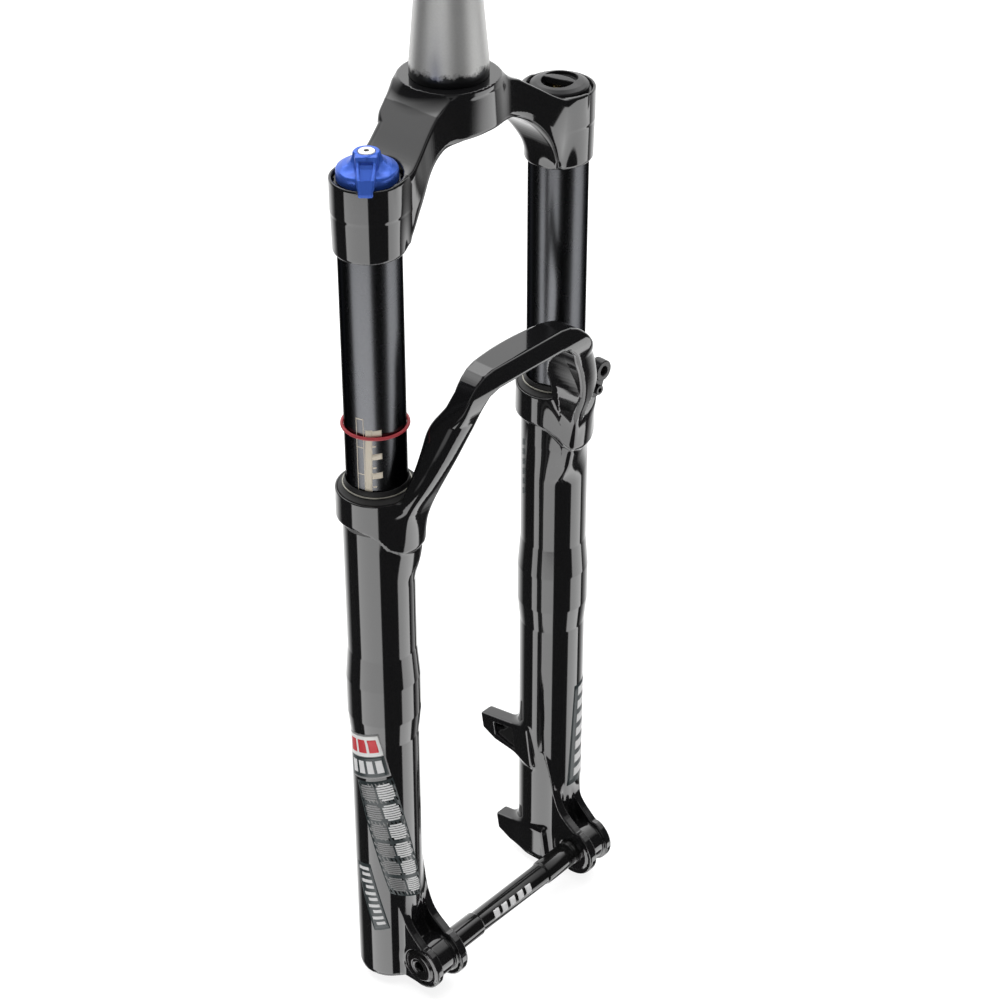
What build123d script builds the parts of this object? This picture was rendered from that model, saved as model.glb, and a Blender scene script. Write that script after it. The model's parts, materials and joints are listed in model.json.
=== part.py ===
from build123d import *
import os
from math import cos, radians, sin, tan

# Air-sprung suspension fork, 120 mm of travel, 32 mm stanchions, for a 15 x 110 mm hub.
# Frame: +X forward, +Y to the rider's left, +Z up along the steerer.
# Origin: centre of the crown race seat. Lengths are in millimetres.

os.makedirs("parts", exist_ok=True)

# ---- driving dimensions -----------------------------------------------------------------
leg_spacing = 140.0          # between the two stanchion axes
leg_x = 11.5                 # stanchion axes lie this far ahead of the steerer axis
leg_y = leg_spacing / 2
stanchion_r = 16.0
stanchion_wall = 1.8
stanchion_in = stanchion_r - stanchion_wall
run_gap = 0.05               # radial clearance of a running or sliding fit

axle_x = 42.0                # fork offset, steerer axis to axle axis
axle_z = -516.0
axle_r = 7.5
hub_width = 110.0
dropout_y = hub_width / 2    # inner faces of the dropouts
right_dropout_width = 23.5   # from the inner face to the outer face, with the axle head
left_dropout_width = 21.0
head_seat = dropout_y + 17.0  # shoulder in the right dropout that the axle head bears on

seat_r = 19.9                # crown race seat on the steerer
steerer_r = 14.3
steerer_top = 265.0
collar_r = 24.4
crown_bottom = -65.4
crown_rim = -26.0            # tops of the two sockets
socket_r = 18.8

stanchion_top = -31.0
stanchion_bottom = -385.0
casting_top = -201.5         # rim of the lower casting around each wiper
casting_bottom = -532.5
leg_r = 18.8
leg_bore_r = 16.8
floor_z = -519.0             # inside floor of each lower leg
foot_seat = -525.0           # face that each foot bolt's washer bears on
foot_hole_r = 4.1
shaft_r = 5.0
shaft_top = -340.0

mount_tilt = 9.8             # brake posts lean back from the vertical
post_spacing = 74.0
post_middle = -486.0         # height midway between the two brake posts
guide_x = leg_x + 26.5       # seat of the hose guide, and the height and side of its bolt
guide_y = 68.9
guide_z = -194.4
hose_r = 2.75
sag_ring_z = -163.9          # where the sag ring was left on the right stanchion


def legs():
    """Y of the right (damper) leg and of the left (air spring) leg."""
    return (-leg_y, leg_y)


def save(piece, name):
    piece.part.label = name
    export_step(piece.part, "parts/" + name + ".step")


def upright(x, y):
    """Plane through a vertical axis at x, y: r runs along +X and z along +Z."""
    return Plane(origin=(x, y, 0), x_dir=(1, 0, 0), z_dir=(0, -1, 0))


def turn(points, x, y, mode=Mode.ADD):
    """Turn an r, z profile about the vertical axis at x, y, in the part being built."""
    with BuildSketch(upright(x, y)) as section:
        with BuildLine():
            Polyline(*points, close=True)
        make_face()
    revolve(section.sketch, axis=Axis((x, y, 0), (0, 0, 1)), mode=mode)


def turned(points, x, y, name):
    """A ring or a rod turned about a vertical axis, as a node of its own."""
    with BuildPart() as piece:
        turn(points, x, y)
    save(piece, name)


def turned_pair(points, name):
    """The same turned ring in both legs, as one node of two solids."""
    with BuildPart() as piece:
        for y in legs():
            turn(points, leg_x, y)
    save(piece, name)


def tube(r_in, r_out, low, high):
    return [(r_in, low), (r_out, low), (r_out, high), (r_in, high)]


# ---- upper unit: steerer, crown, stanchions ---------------------------------------------
def make_steerer():
    taper_low = 7.0
    taper_high = 69.0
    outline = [
        (16.4, crown_bottom + 41.4),
        (19.0, crown_bottom + 41.4),
        (19.0, 0.0),
        (seat_r, 0.0),
        (seat_r, taper_low),
        (steerer_r, taper_high),
        (steerer_r, steerer_top - 1.0),
        (steerer_r - 1.0, steerer_top),
        (12.2, steerer_top),
        (12.2, taper_high),
        (16.4, taper_low),
    ]
    turned(outline, 0.0, 0.0, "steerer_tube")


def make_crown():
    boss_r = 23.4
    boss_bottom = crown_bottom + 41.4
    with BuildPart() as crown:
        # Arms: the front outline, cut to the plan outline.
        with BuildSketch(Plane.YZ.offset(-45)):
            with BuildLine():
                top = Line((0, -2.0), (23.0, -2.0))
                slope = Line(top @ 1, (57.0, crown_rim))
                rim = Line(slope @ 1, (leg_y, crown_rim))
                outer = Line(rim @ 1, (leg_y, crown_bottom + 3))
                inner = Line(outer @ 1, (53.0, crown_bottom + 3))
                under = Spline(
                    inner @ 1,
                    (47.0, -46.5),
                    (36.5, -34.0),
                    (18.0, boss_bottom),
                    tangents=[(-0.35, 1.0), (-1.0, 0.0)],
                )
                Line(under @ 1, (0, boss_bottom))
                mirror(about=Plane.YZ)
            make_face()
        extrude(amount=90)
        with BuildSketch(Plane.XY.offset(-80)):
            with BuildLine():
                rear = Spline(
                    (-24.0, 0),
                    (-20.0, 16.0),
                    (-11.5, 34.0),
                    (leg_x - socket_r + 1.5, 52.0),
                    (leg_x - socket_r + 0.5, leg_y),
                    tangents=[(0.0, 1.0), (0.0, 1.0)],
                )
                end = Line(rear @ 1, (leg_x + socket_r - 0.5, leg_y))
                Spline(
                    end @ 1,
                    (27.5, 50.0),
                    (23.0, 30.0),
                    (22.5, 12.0),
                    (24.0, 0),
                    tangents=[(0.0, -1.0), (0.0, -1.0)],
                )
                mirror(about=Plane.XZ)
            make_face()
        extrude(amount=90, mode=Mode.INTERSECT)
        long_edges = crown.edges().filter_by(lambda e: e.length > 20)
        fillet(long_edges.filter_by(lambda e: abs(e.center().Y) > 20), radius=3.0)
        # The arms narrow downward, so each ends in a keel against its socket.
        with BuildSketch(Plane.XZ.offset(-90)):
            with BuildLine():
                Polyline((32.0, 0), (32.0, -22.0), (21.5, -64.0), (0.0, -64.0), (-6.0, -48.0),
                         (-26.0, -24.0), (-26.0, 0), close=True)
            make_face()
        extrude(amount=180, mode=Mode.INTERSECT)
        # Steerer boss with its flat collar, which the lower headset race lands on.
        with BuildSketch(Plane.XY.offset(boss_bottom)):
            Circle(boss_r)
        extrude(amount=-boss_bottom, taper=-2.0)
        with BuildSketch(Plane.XY.offset(-2.2)):
            Circle(collar_r)
        extrude(amount=2.2)
        # Stanchion sockets: a short belt above, tapering slightly to the bottom edge.
        for y in legs():
            turn(
                [
                    (0, crown_bottom),
                    (socket_r - 1.0, crown_bottom),
                    (socket_r - 0.3, crown_bottom + 1.2),
                    (socket_r, -43.5),
                    (socket_r, crown_rim - 0.6),
                    (socket_r - 0.6, crown_rim),
                    (0, crown_rim),
                ],
                leg_x,
                y,
            )
        # Bores: steerer, stanchions, and a wider recess above each stanchion for its cap.
        with BuildSketch(Plane.XY.offset(-80)):
            Circle(19.0)
        extrude(amount=90, mode=Mode.SUBTRACT)
        with BuildSketch(Plane.XY.offset(-80)):
            with Locations((leg_x, -leg_y), (leg_x, leg_y)):
                Circle(stanchion_r)
        extrude(amount=80 + stanchion_top, mode=Mode.SUBTRACT)
        with BuildSketch(Plane.XY.offset(stanchion_top)):
            with Locations((leg_x, -leg_y), (leg_x, leg_y)):
                Circle(17.2)
        extrude(amount=40, mode=Mode.SUBTRACT)
    save(crown, "crown")


def make_stanchions():
    groove_low = stanchion_bottom + 3.0
    groove_high = groove_low + 1.4
    outline = [
        (stanchion_in, stanchion_bottom),
        (stanchion_r - 0.4, stanchion_bottom),
        (stanchion_r, stanchion_bottom + 0.8),
        (stanchion_r, stanchion_top),
        (stanchion_in, stanchion_top),
        (stanchion_in, groove_high),
        (stanchion_in + 0.7, groove_high),
        (stanchion_in + 0.7, groove_low),
        (stanchion_in, groove_low),
    ]
    turned(outline, leg_x, -leg_y, "stanchion_right")
    turned(outline, leg_x, leg_y, "stanchion_left")
    ring = tube(stanchion_in - 1.6, stanchion_in + 0.65, groove_low + 0.05, groove_high - 0.05)
    turned_pair(ring, "seal_head_retaining_rings")


# ---- seal heads at the bottom of the stanchions ------------------------------------------
head_low = stanchion_bottom + 4.4
head_high = head_low + 14.0


def make_seal_heads():
    outline = [
        (shaft_r + run_gap, head_low),
        (stanchion_in - 0.02, head_low),
        (stanchion_in - 0.02, head_low + 5.0),
        (stanchion_in - 1.8, head_low + 5.0),
        (stanchion_in - 1.8, head_low + 8.0),
        (stanchion_in - 0.02, head_low + 8.0),
        (stanchion_in - 0.02, head_high),
        (shaft_r + 3.0, head_high),
        (shaft_r + 3.0, head_high - 3.5),
        (shaft_r + run_gap, head_high - 3.5),
    ]
    turned(outline, leg_x, -leg_y, "damper_seal_head")
    turned(outline, leg_x, leg_y, "air_seal_head")
    turned_pair(tube(stanchion_in - 1.78, stanchion_in - 0.03, head_low + 5.3, head_low + 7.7),
                "seal_head_o_rings")
    turned_pair(tube(shaft_r + run_gap, shaft_r + 2.98, head_high - 3.45, head_high - 0.2),
                "shaft_seals")


# ---- damper in the right leg -------------------------------------------------------------
cap_plug_low = -48.0
spindle_r = 2.5


def make_damper_top_cap():
    with BuildPart() as cap:
        turn(
            [
                (spindle_r + run_gap, cap_plug_low - 4.0),
                (7.0, cap_plug_low - 4.0),
                (7.0, cap_plug_low),
                (stanchion_in - 0.02, cap_plug_low),
                (stanchion_in - 0.02, -40.0),
                (stanchion_in - 1.6, -40.0),
                (stanchion_in - 1.6, -37.5),
                (stanchion_in - 0.02, -37.5),
                (stanchion_in - 0.02, stanchion_top),
                (17.0, stanchion_top),
                (17.0, -28.4),
                (16.4, -27.8),
                (spindle_r + run_gap, -27.8),
            ],
            leg_x,
            -leg_y,
        )
        # Eight notches round the flange take the cassette-type tool.
        with BuildSketch(Plane(origin=(leg_x, -leg_y, -29.6))):
            with PolarLocations(17.0, 8):
                Rectangle(2.2, 3.4)
        extrude(amount=4, mode=Mode.SUBTRACT)
        # Blind pocket for the detent spring and ball.
        with BuildSketch(Plane(origin=(leg_x - 9.0, -leg_y, -36.0))):
            Circle(1.6)
        extrude(amount=12, mode=Mode.SUBTRACT)
    save(cap, "damper_top_cap")


def make_detent():
    with BuildPart() as spring:
        with BuildLine():
            Helix(pitch=1.3, height=4.6, radius=1.05, center=(leg_x - 9.0, -leg_y, -35.6))
        with BuildSketch(Plane(origin=(leg_x - 9.0 + 1.05, -leg_y, -35.6), z_dir=(0, 1, 0.2))):
            Circle(0.25)
        sweep()
    save(spring, "detent_spring")
    with BuildPart() as ball:
        with Locations((leg_x - 9.0, -leg_y, -29.25)):
            Sphere(1.4)
    save(ball, "detent_ball")


def make_compression_damper():
    piston_low = -132.0
    piston_high = -120.0
    turned(tube(4.0, 6.0, piston_high, cap_plug_low - 4.0), leg_x, -leg_y, "compression_tube")
    with BuildPart() as piston:
        turn(
            [
                (4.0, piston_low),
                (stanchion_in - run_gap, piston_low),
                (stanchion_in - run_gap, piston_low + 4.5),
                (stanchion_in - 1.8, piston_low + 4.5),
                (stanchion_in - 1.8, piston_low + 7.5),
                (stanchion_in - run_gap, piston_low + 7.5),
                (stanchion_in - run_gap, piston_high),
                (4.0, piston_high),
            ],
            leg_x,
            -leg_y,
        )
        with BuildSketch(Plane(origin=(leg_x, -leg_y, piston_low))):
            with PolarLocations(8.5, 6):
                Circle(1.7)
        extrude(amount=20, mode=Mode.SUBTRACT)
    save(piston, "compression_piston")
    seal = tube(stanchion_in - 1.78, stanchion_in - 0.03, piston_low + 4.8, piston_low + 7.2)
    turned(seal, leg_x, -leg_y, "compression_piston_seal")
    # Spindle that the blue knob turns, with the rotary valve at its lower end.
    spindle = [
        (0, piston_low - 2.0),
        (3.9, piston_low - 2.0),
        (3.9, piston_low + 8.0),
        (spindle_r, piston_low + 10.0),
        (spindle_r, -19.0),
        (0, -19.0),
    ]
    turned(spindle, leg_x, -leg_y, "compression_spindle")


def make_rebound_damper():
    turned([
        (2.6, floor_z), (shaft_r, floor_z), (shaft_r, shaft_top - 9.0), (4.0, shaft_top - 9.0),
        (4.0, shaft_top), (2.6, shaft_top),
    ], leg_x, -leg_y, "damper_shaft")
    piston_low = shaft_top - 9.0
    with BuildPart() as piston:
        turn(
            [
                (4.0, piston_low),
                (stanchion_in - 0.09, piston_low),
                (stanchion_in - 0.09, piston_low + 3.0),
                (stanchion_in - 1.2, piston_low + 3.0),
                (stanchion_in - 1.2, piston_low + 6.0),
                (stanchion_in - 0.09, piston_low + 6.0),
                (stanchion_in - 0.09, piston_low + 9.0),
                (4.0, piston_low + 9.0),
            ],
            leg_x,
            -leg_y,
        )
        with BuildSketch(Plane(origin=(leg_x, -leg_y, piston_low))):
            with PolarLocations(8.5, 8):
                Circle(1.4)
        extrude(amount=20, mode=Mode.SUBTRACT)
    save(piston, "rebound_piston")
    glide = tube(stanchion_in - 1.18, stanchion_in - 0.05, piston_low + 3.1, piston_low + 5.9)
    turned(glide, leg_x, -leg_y, "rebound_glide_ring")
    turned(tube(4.0, 12.4, shaft_top, shaft_top + 0.3), leg_x, -leg_y, "rebound_shim")
    nut = [(2.6, shaft_top + 0.3), (6.5, shaft_top + 0.3), (6.5, shaft_top + 4.8),
           (5.5, shaft_top + 5.8), (2.6, shaft_top + 5.8)]
    turned(nut, leg_x, -leg_y, "rebound_piston_nut")
    turned(tube(shaft_r + 0.02, 9.5, head_high + 0.1, piston_low), leg_x, -leg_y, "top_out_bumper")


def make_rebound_adjuster():
    rod = [(0, casting_bottom - 5.0), (2.0, casting_bottom - 5.0), (2.0, shaft_top + 2.0),
           (0, shaft_top + 4.0)]
    turned(rod, leg_x, -leg_y, "rebound_rod")
    with BuildPart() as knob:
        turn(
            [(2.0, casting_bottom - 6.4), (5.4, casting_bottom - 6.4), (6.4, casting_bottom - 5.4),
             (6.4, casting_bottom - 0.6), (5.8, casting_bottom), (2.0, casting_bottom)],
            leg_x,
            -leg_y,
        )
        with BuildSketch(Plane(origin=(leg_x, -leg_y, casting_bottom - 8.0))):
            with PolarLocations(6.9, 12):
                Circle(0.9)
        extrude(amount=7.0, mode=Mode.SUBTRACT)
    save(knob, "rebound_knob")


# ---- air spring in the left leg ----------------------------------------------------------
def make_air_top_cap():
    with BuildPart() as cap:
        turn(
            [
                (4.0, cap_plug_low),
                (stanchion_in - 0.02, cap_plug_low),
                (stanchion_in - 0.02, -40.0),
                (stanchion_in - 1.6, -40.0),
                (stanchion_in - 1.6, -37.5),
                (stanchion_in - 0.02, -37.5),
                (stanchion_in - 0.02, stanchion_top),
                (17.0, stanchion_top),
                (17.0, -28.4),
                (16.4, -27.8),
                (11.2, -27.8),
                (11.2, -41.0),
                (4.0, -41.0),
            ],
            leg_x,
            leg_y,
        )
    save(cap, "air_top_cap")
    turned_pair(tube(stanchion_in - 1.58, stanchion_in - 0.03, -39.8, -37.7), "top_cap_o_rings")
    valve = [
        (2.3, cap_plug_low), (4.0, cap_plug_low), (4.0, -41.0), (5.2, -41.0), (5.2, -38.6),
        (3.9, -38.0), (3.9, -26.0), (2.3, -26.0),
    ]
    turned(valve, leg_x, leg_y, "air_valve_body")
    core = [
        (0, -46.0), (1.3, -46.0), (1.3, -41.0), (2.28, -40.0), (2.28, -29.0), (0.8, -28.6),
        (0.8, -26.6), (0, -26.6),
    ]
    turned(core, leg_x, leg_y, "air_valve_core")
    with BuildPart() as tokens:
        for low in (cap_plug_low - 11.0, cap_plug_low - 22.0):
            turn(
                [(2.4, low), (11.5, low), (13.0, low + 1.5), (13.0, low + 9.5),
                 (11.5, low + 11.0 - 0.2), (2.4, low + 11.0 - 0.2)],
                leg_x,
                leg_y,
            )
    save(tokens, "volume_tokens")


def make_air_cap():
    """Plastic cover over the valve: low dome with two finger pockets and a bridge."""
    low = -27.4
    cover_r = 15.4
    with BuildPart() as cap:
        turn(
            [(0, low), (cover_r, low), (cover_r, low + 2.2), (14.4, low + 3.4), (11.0, low + 4.7),
             (6.0, low + 5.6), (3.0, low + 5.8), (0, low + 5.8)],
            leg_x,
            leg_y,
        )
        turn(tube(8.6, 10.9, -37.0, low), leg_x, leg_y)
        # Finger pockets, one each side of the bridge.
        with BuildSketch(Plane(origin=(leg_x, leg_y, low + 3.1), x_dir=(0.966, 0.259, 0))):
            with BuildLine():
                Polyline((-9.0, 2.0), (0, 3.0), (9.0, 2.0), (8.0, 6.0), (4.4, 9.2), (0, 10.3),
                         (-4.4, 9.2), (-8.0, 6.0), close=True)
            make_face()
            mirror(about=Plane.XZ)
        extrude(amount=10, mode=Mode.SUBTRACT)
        # Room for the valve.
        with BuildSketch(Plane(origin=(leg_x, leg_y, low - 0.1))):
            Circle(7.6)
        extrude(amount=2.1, mode=Mode.SUBTRACT)
    save(cap, "air_cap")


def make_air_spring():
    turned(tube(2.6, shaft_r, floor_z, shaft_top - 9.0), leg_x, leg_y, "air_shaft")
    low = shaft_top - 9.0
    piston = [
        (0, low), (stanchion_in - 0.09, low), (stanchion_in - 0.09, low + 3.0),
        (stanchion_in - 2.2, low + 3.0), (stanchion_in - 2.2, low + 6.2),
        (stanchion_in - 0.09, low + 6.2), (stanchion_in - 0.09, low + 10.0), (8.0, low + 10.0),
        (8.0, low + 14.0), (0, low + 14.0),
    ]
    turned(piston, leg_x, leg_y, "air_piston")
    quad = tube(stanchion_in - 2.18, stanchion_in - 0.05, low + 3.2, low + 6.0)
    turned(quad, leg_x, leg_y, "air_piston_seal")
    turned(tube(shaft_r + 0.02, 9.5, head_high + 0.1, low), leg_x, leg_y, "negative_bumper")
    turned(tube(shaft_r + 0.02, 11.0, floor_z, floor_z + 10.0), leg_x, leg_y, "bottom_out_bumper")


# ---- compression knob --------------------------------------------------------------------
def make_compression_knob():
    low = -27.4
    knob_r = 15.2
    nose_angle = -48.0           # lever points ahead and outward in the open setting
    with BuildPart() as knob:
        with BuildSketch(upright(leg_x, -leg_y)):
            with BuildLine():
                wall = Polyline((0, low), (knob_r, low), (knob_r, low + 5.2))
                crest = ThreePointArc(wall @ 1, (13.9, low + 7.2), (11.5, low + 8.0))
                neck = ThreePointArc(crest @ 1, (7.8, low + 9.0), (6.6, low + 11.6))
                Polyline(neck @ 1, (6.4, low + 13.4), (5.6, low + 14.1), (0, low + 14.1))
                Line((0, low + 14.1), (0, low))
            make_face()
        revolve(axis=Axis((leg_x, -leg_y, 0), (0, 0, 1)))
        # Lever nose: a ramp from the hub over the wall and down past the crown rim.
        nose = Plane(origin=(leg_x, -leg_y, 0),
                     x_dir=(cos(radians(nose_angle)), sin(radians(nose_angle)), 0),
                     z_dir=(sin(radians(nose_angle)), -cos(radians(nose_angle)), 0))
        with BuildSketch(nose.offset(-4.2)):
            with BuildLine():
                Polyline((4.0, low + 0.1), (4.0, low + 12.8), (6.4, low + 12.8), (9.0, low + 10.2),
                         (15.5, low + 7.0), (19.4, low + 5.0), (21.4, low + 2.4),
                         (21.0, low - 0.4), (19.3, low - 0.4), (19.3, low + 1.9),
                         (knob_r, low + 1.9), (knob_r, low + 0.1), close=True)
            make_face()
        extrude(amount=8.4)
        # Channel between the lever's two ribs, and the window at its foot.
        with BuildSketch(nose.offset(-2.4)):
            with BuildLine():
                Polyline((7.0, low + 20.0), (7.0, low + 8.8), (14.6, low + 4.4),
                         (14.6, low + 2.6), (17.4, low + 2.6), (17.4, low + 20.0), close=True)
            make_face()
        extrude(amount=4.8, mode=Mode.SUBTRACT)
        # Two swept hollows in the dome beside the lever.
        for side in (-1, 1):
            turn = radians(nose_angle + side * 40.0)
            with Locations((leg_x + 11.5 * cos(turn), -leg_y + 11.5 * sin(turn), low + 13.5)):
                Sphere(6.2, mode=Mode.SUBTRACT)
        with BuildSketch(Plane(origin=(leg_x, -leg_y, low))):
            Circle(spindle_r)
        extrude(amount=8.4, mode=Mode.SUBTRACT)
        with BuildSketch(Plane(origin=(leg_x, -leg_y, low + 12.9))):
            Circle(4.2)
        extrude(amount=4, mode=Mode.SUBTRACT)
        with BuildSketch(Plane(origin=(leg_x, -leg_y, low + 8.3))):
            Circle(1.6)
        extrude(amount=6, mode=Mode.SUBTRACT)
        with BuildSketch(Plane(origin=(leg_x - 9.0, -leg_y, low - 0.5))):
            Circle(1.7)
        extrude(amount=1.4, mode=Mode.SUBTRACT)
    save(knob, "compression_knob")
    with BuildPart() as screw:
        with BuildSketch(Plane(origin=(leg_x, -leg_y, low + 12.9))):
            Circle(4.15)
        extrude(amount=1.5)
        chamfer(screw.edges().group_by(Axis.Z)[-1], length=0.3)
        with BuildSketch(Plane(origin=(leg_x, -leg_y, low + 8.6))):
            Circle(1.55)
        extrude(amount=4.6)
        with BuildSketch(Plane(origin=(leg_x, -leg_y, low + 11.6))):
            RegularPolygon(radius=1.25, side_count=6, major_radius=False)
        extrude(amount=5, mode=Mode.SUBTRACT)
    save(screw, "knob_screw")


# ---- lower casting -----------------------------------------------------------------------
def leg_profile():
    """Outside of one lower leg: collar, leg, swelling round the lower bushing, foot."""
    return [
        (0, casting_bottom),
        (leg_r - 3.4, casting_bottom),
        (leg_r - 1.2, casting_bottom + 0.9),
        (leg_r + 0.1, casting_bottom + 3.2),
        (leg_r + 0.1, -362.0),
        (20.2, -346.0),
        (20.2, -322.0),
        (leg_r - 0.1, -312.0),
        (leg_r - 0.1, -232.0),
        (21.7, -225.0),
        (22.2, -206.0),
        (22.2, casting_top - 0.8),
        (21.6, casting_top),
        (0, casting_top),
    ]


def plate_outline(rim, waist):
    """Side view of one dropout plate, from the leg front round the axle and back."""
    touch = radians(60.0)
    with BuildLine() as outline:
        sweep_down = Spline(
            (leg_x + 8.0, axle_z + 56.0),
            (waist, axle_z + 37.0),
            (leg_x + 21.0, axle_z + 22.0),
            (axle_x + rim * cos(touch), axle_z + rim * sin(touch)),
            tangents=[(0.1, -1.0), (sin(touch), -cos(touch))],
        )
        round_end = ThreePointArc(
            sweep_down @ 1,
            (axle_x + rim * cos(radians(-15)), axle_z + rim * sin(radians(-15))),
            (axle_x + rim * cos(radians(-97)), axle_z + rim * sin(radians(-97))),
        )
        foot = Line(round_end @ 1, (leg_x + 8.0, casting_bottom + 1.2))
        Line(foot @ 1, sweep_down @ 0)
    return outline.line.edges()


def add_dropout(side):
    """Two plates joined by a boss and a recessed web, at the foot of one leg."""
    inner = dropout_y
    width = left_dropout_width if side > 0 else right_dropout_width
    outer = inner + width
    plates = [(inner, 6.0, 16.4), (outer - 6.0, 6.0, 15.0)]
    for low, thick, rim in plates:
        with BuildSketch(Plane.XZ.offset(-side * low)) as plate:
            make_face(plate_outline(rim, leg_x + 13.0))
        extrude(plate.sketch, amount=-side * thick)
    # Web between the plates, set back from their edges.
    with BuildSketch(Plane.XZ.offset(-side * (inner + 3.0))) as web:
        with BuildLine():
            Polyline((leg_x + 8.0, axle_z + 44.0), (axle_x - 10.0, axle_z + 14.0),
                     (axle_x + 4.0, axle_z), (axle_x - 4.0, axle_z - 12.0),
                     (leg_x + 8.0, casting_bottom + 4.0), close=True)
        make_face()
    extrude(web.sketch, amount=-side * (width - 5.0))
    # Boss round the axle bore.
    with BuildSketch(Plane.XZ.offset(-side * inner)) as boss:
        with Locations((axle_x, axle_z)):
            Circle(12.4)
    extrude(boss.sketch, amount=-side * width)


def add_brake_post(height, with_pocket):
    """One post of the brake mount, on the inner side of the left leg, facing the rear."""
    tilt = radians(mount_tilt)
    face_x = leg_x - 33.0 - (height - post_middle) * tan(tilt)
    post_width = 10.5
    inner_y = leg_y - leg_r
    post = Plane(origin=(face_x, inner_y, height), x_dir=(cos(tilt), 0, sin(tilt)),
                 z_dir=(0, -1, 0))
    with BuildSketch(post) as outline:
        with BuildLine():
            Polyline((0, 6.3), (0, -5.2), (9.0, -11.5), (38.0, -20.0), (38.0, 6.3), close=True)
        make_face()
    extrude(outline.sketch, amount=-post_width)
    if with_pocket:
        with BuildSketch(post) as pocket:
            with BuildLine():
                Polyline((10.0, 2.0), (10.0, -6.0), (27.0, -13.5), (27.0, 2.0), close=True)
            make_face()
        extrude(pocket.sketch, amount=-2.4, mode=Mode.SUBTRACT)


def post_hole(height):
    """Blind M6 hole, square to the tilted face of a brake post."""
    tilt = radians(mount_tilt)
    face_x = leg_x - 33.0 - (height - post_middle) * tan(tilt)
    face = Plane(origin=(face_x, leg_y - leg_r + 5.25, height), z_dir=(-cos(tilt), 0, -sin(tilt)))
    with BuildSketch(face) as hole:
        Circle(3.0)
    extrude(hole.sketch, amount=-15.0, mode=Mode.SUBTRACT)


def make_lower_casting():
    with BuildPart() as casting:
        # Arch: its front outline, cut to its side outline.
        with BuildSketch(Plane.YZ.offset(leg_x)):
            with BuildLine():
                top = Line((0, -136.4), (29.0, -136.4))
                knee = ThreePointArc(top @ 1, (35.4, -138.0), (39.8, -142.8))
                strut = ThreePointArc(knee @ 1, (60.5, -168.0), (77.0, -203.7))
                low = Polyline(strut @ 1, (81.0, -214.0), (79.5, -232.0), (71.0, -268.0),
                               (66.5, -285.0), (64.5, -275.0))
                back = Spline(low @ 1, (62.5, -235.0), (52.5, -189.0), (40.0, -163.0),
                              tangents=[(-0.02, 1.0), (-0.5, 0.86)])
                corner = ThreePointArc(back @ 1, (34.0, -150.8), (24.0, -147.6))
                Line(corner @ 1, (0, -147.0))
                mirror(about=Plane.YZ)
            make_face()
        extrude(amount=50)
        with BuildSketch(Plane.XZ.offset(-100)):
            with BuildLine():
                front = Line((leg_x + 43.0, -130.0), (leg_x + 43.0, -150.0))
                fall = Spline(front @ 1, (leg_x + 38.0, -178.0), (leg_x + 27.0, -210.0),
                              (leg_x + 19.4, -250.0), (leg_x + 16.0, -285.0),
                              tangents=[(0.0, -1.0), (-0.1, -1.0)])
                foot = Polyline(fall @ 1, (leg_x + 3.0, -285.0), (leg_x + 3.0, -203.0))
                rise = Spline(foot @ 1, (leg_x + 13.0, -178.0), (leg_x + 24.0, -148.0),
                              (leg_x + 25.0, -130.0), tangents=[(0.3, 1.0), (0.0, 1.0)])
                Line(rise @ 1, front @ 0)
            make_face()
        extrude(amount=200, mode=Mode.INTERSECT)
        # Legs.
        for y in legs():
            turn(leg_profile(), leg_x, y)
        for side in (-1, 1):
            add_dropout(side)
        half_rise = post_spacing / 2 * cos(radians(mount_tilt))
        add_brake_post(post_middle + half_rise, True)
        add_brake_post(post_middle - half_rise, False)
        post_hole(post_middle + half_rise)
        post_hole(post_middle - half_rise)
        # Flat seat for the hose guide, recessed into the outer end of the left strut.
        with Locations((guide_x + 15.0, guide_y + 15.0, guide_z - 15.0)):
            Box(30.0, 40.0, 66.8, mode=Mode.SUBTRACT)
        with BuildSketch(Plane.YZ.offset(leg_x + 17.0)):
            with Locations((guide_y, guide_z)):
                Circle(5.3)
        extrude(amount=guide_x - leg_x - 17.0)
        # Leg bores, wiper seats, foot holes and the counterbores under the feet.
        for y in legs():
            turn(
                [(0, floor_z), (leg_bore_r, floor_z), (leg_bore_r, casting_top - 22.0),
                 (18.9, casting_top - 22.0), (18.9, casting_top - 10.0),
                 (20.6, casting_top - 10.0), (20.6, casting_top + 1.0), (0, casting_top + 1.0)],
                leg_x,
                y,
                mode=Mode.SUBTRACT,
            )
            with BuildSketch(Plane(origin=(leg_x, y, casting_bottom - 1.0))):
                Circle(foot_hole_r)
            extrude(amount=20, mode=Mode.SUBTRACT)
            with BuildSketch(Plane(origin=(leg_x, y, casting_bottom - 1.0))):
                Circle(9.5)
            extrude(amount=foot_seat - casting_bottom + 1.0, mode=Mode.SUBTRACT)
        # Arch stays clear of the wipers and stanchions.
        for y in legs():
            with BuildSketch(Plane(origin=(leg_x, y, casting_top))):
                Circle(20.6)
            extrude(amount=60, mode=Mode.SUBTRACT)
        # Axle bore: plain through the right dropout, threaded in the left one.
        with BuildSketch(Plane.XZ.offset(-(dropout_y + 40.0))):
            with Locations((axle_x, axle_z)):
                Circle(axle_r + run_gap)
        extrude(amount=dropout_y * 2 + 80.0, mode=Mode.SUBTRACT)
        with BuildSketch(Plane.XZ.offset(head_seat)):
            with Locations((axle_x, axle_z)):
                Circle(10.9)
        extrude(amount=20.0, mode=Mode.SUBTRACT)
        with BuildSketch(Plane.YZ.offset(guide_x)):
            with Locations((guide_y, guide_z)):
                Circle(2.1)
        extrude(amount=-5.2, mode=Mode.SUBTRACT)
    save(casting, "lower_casting")


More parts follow.
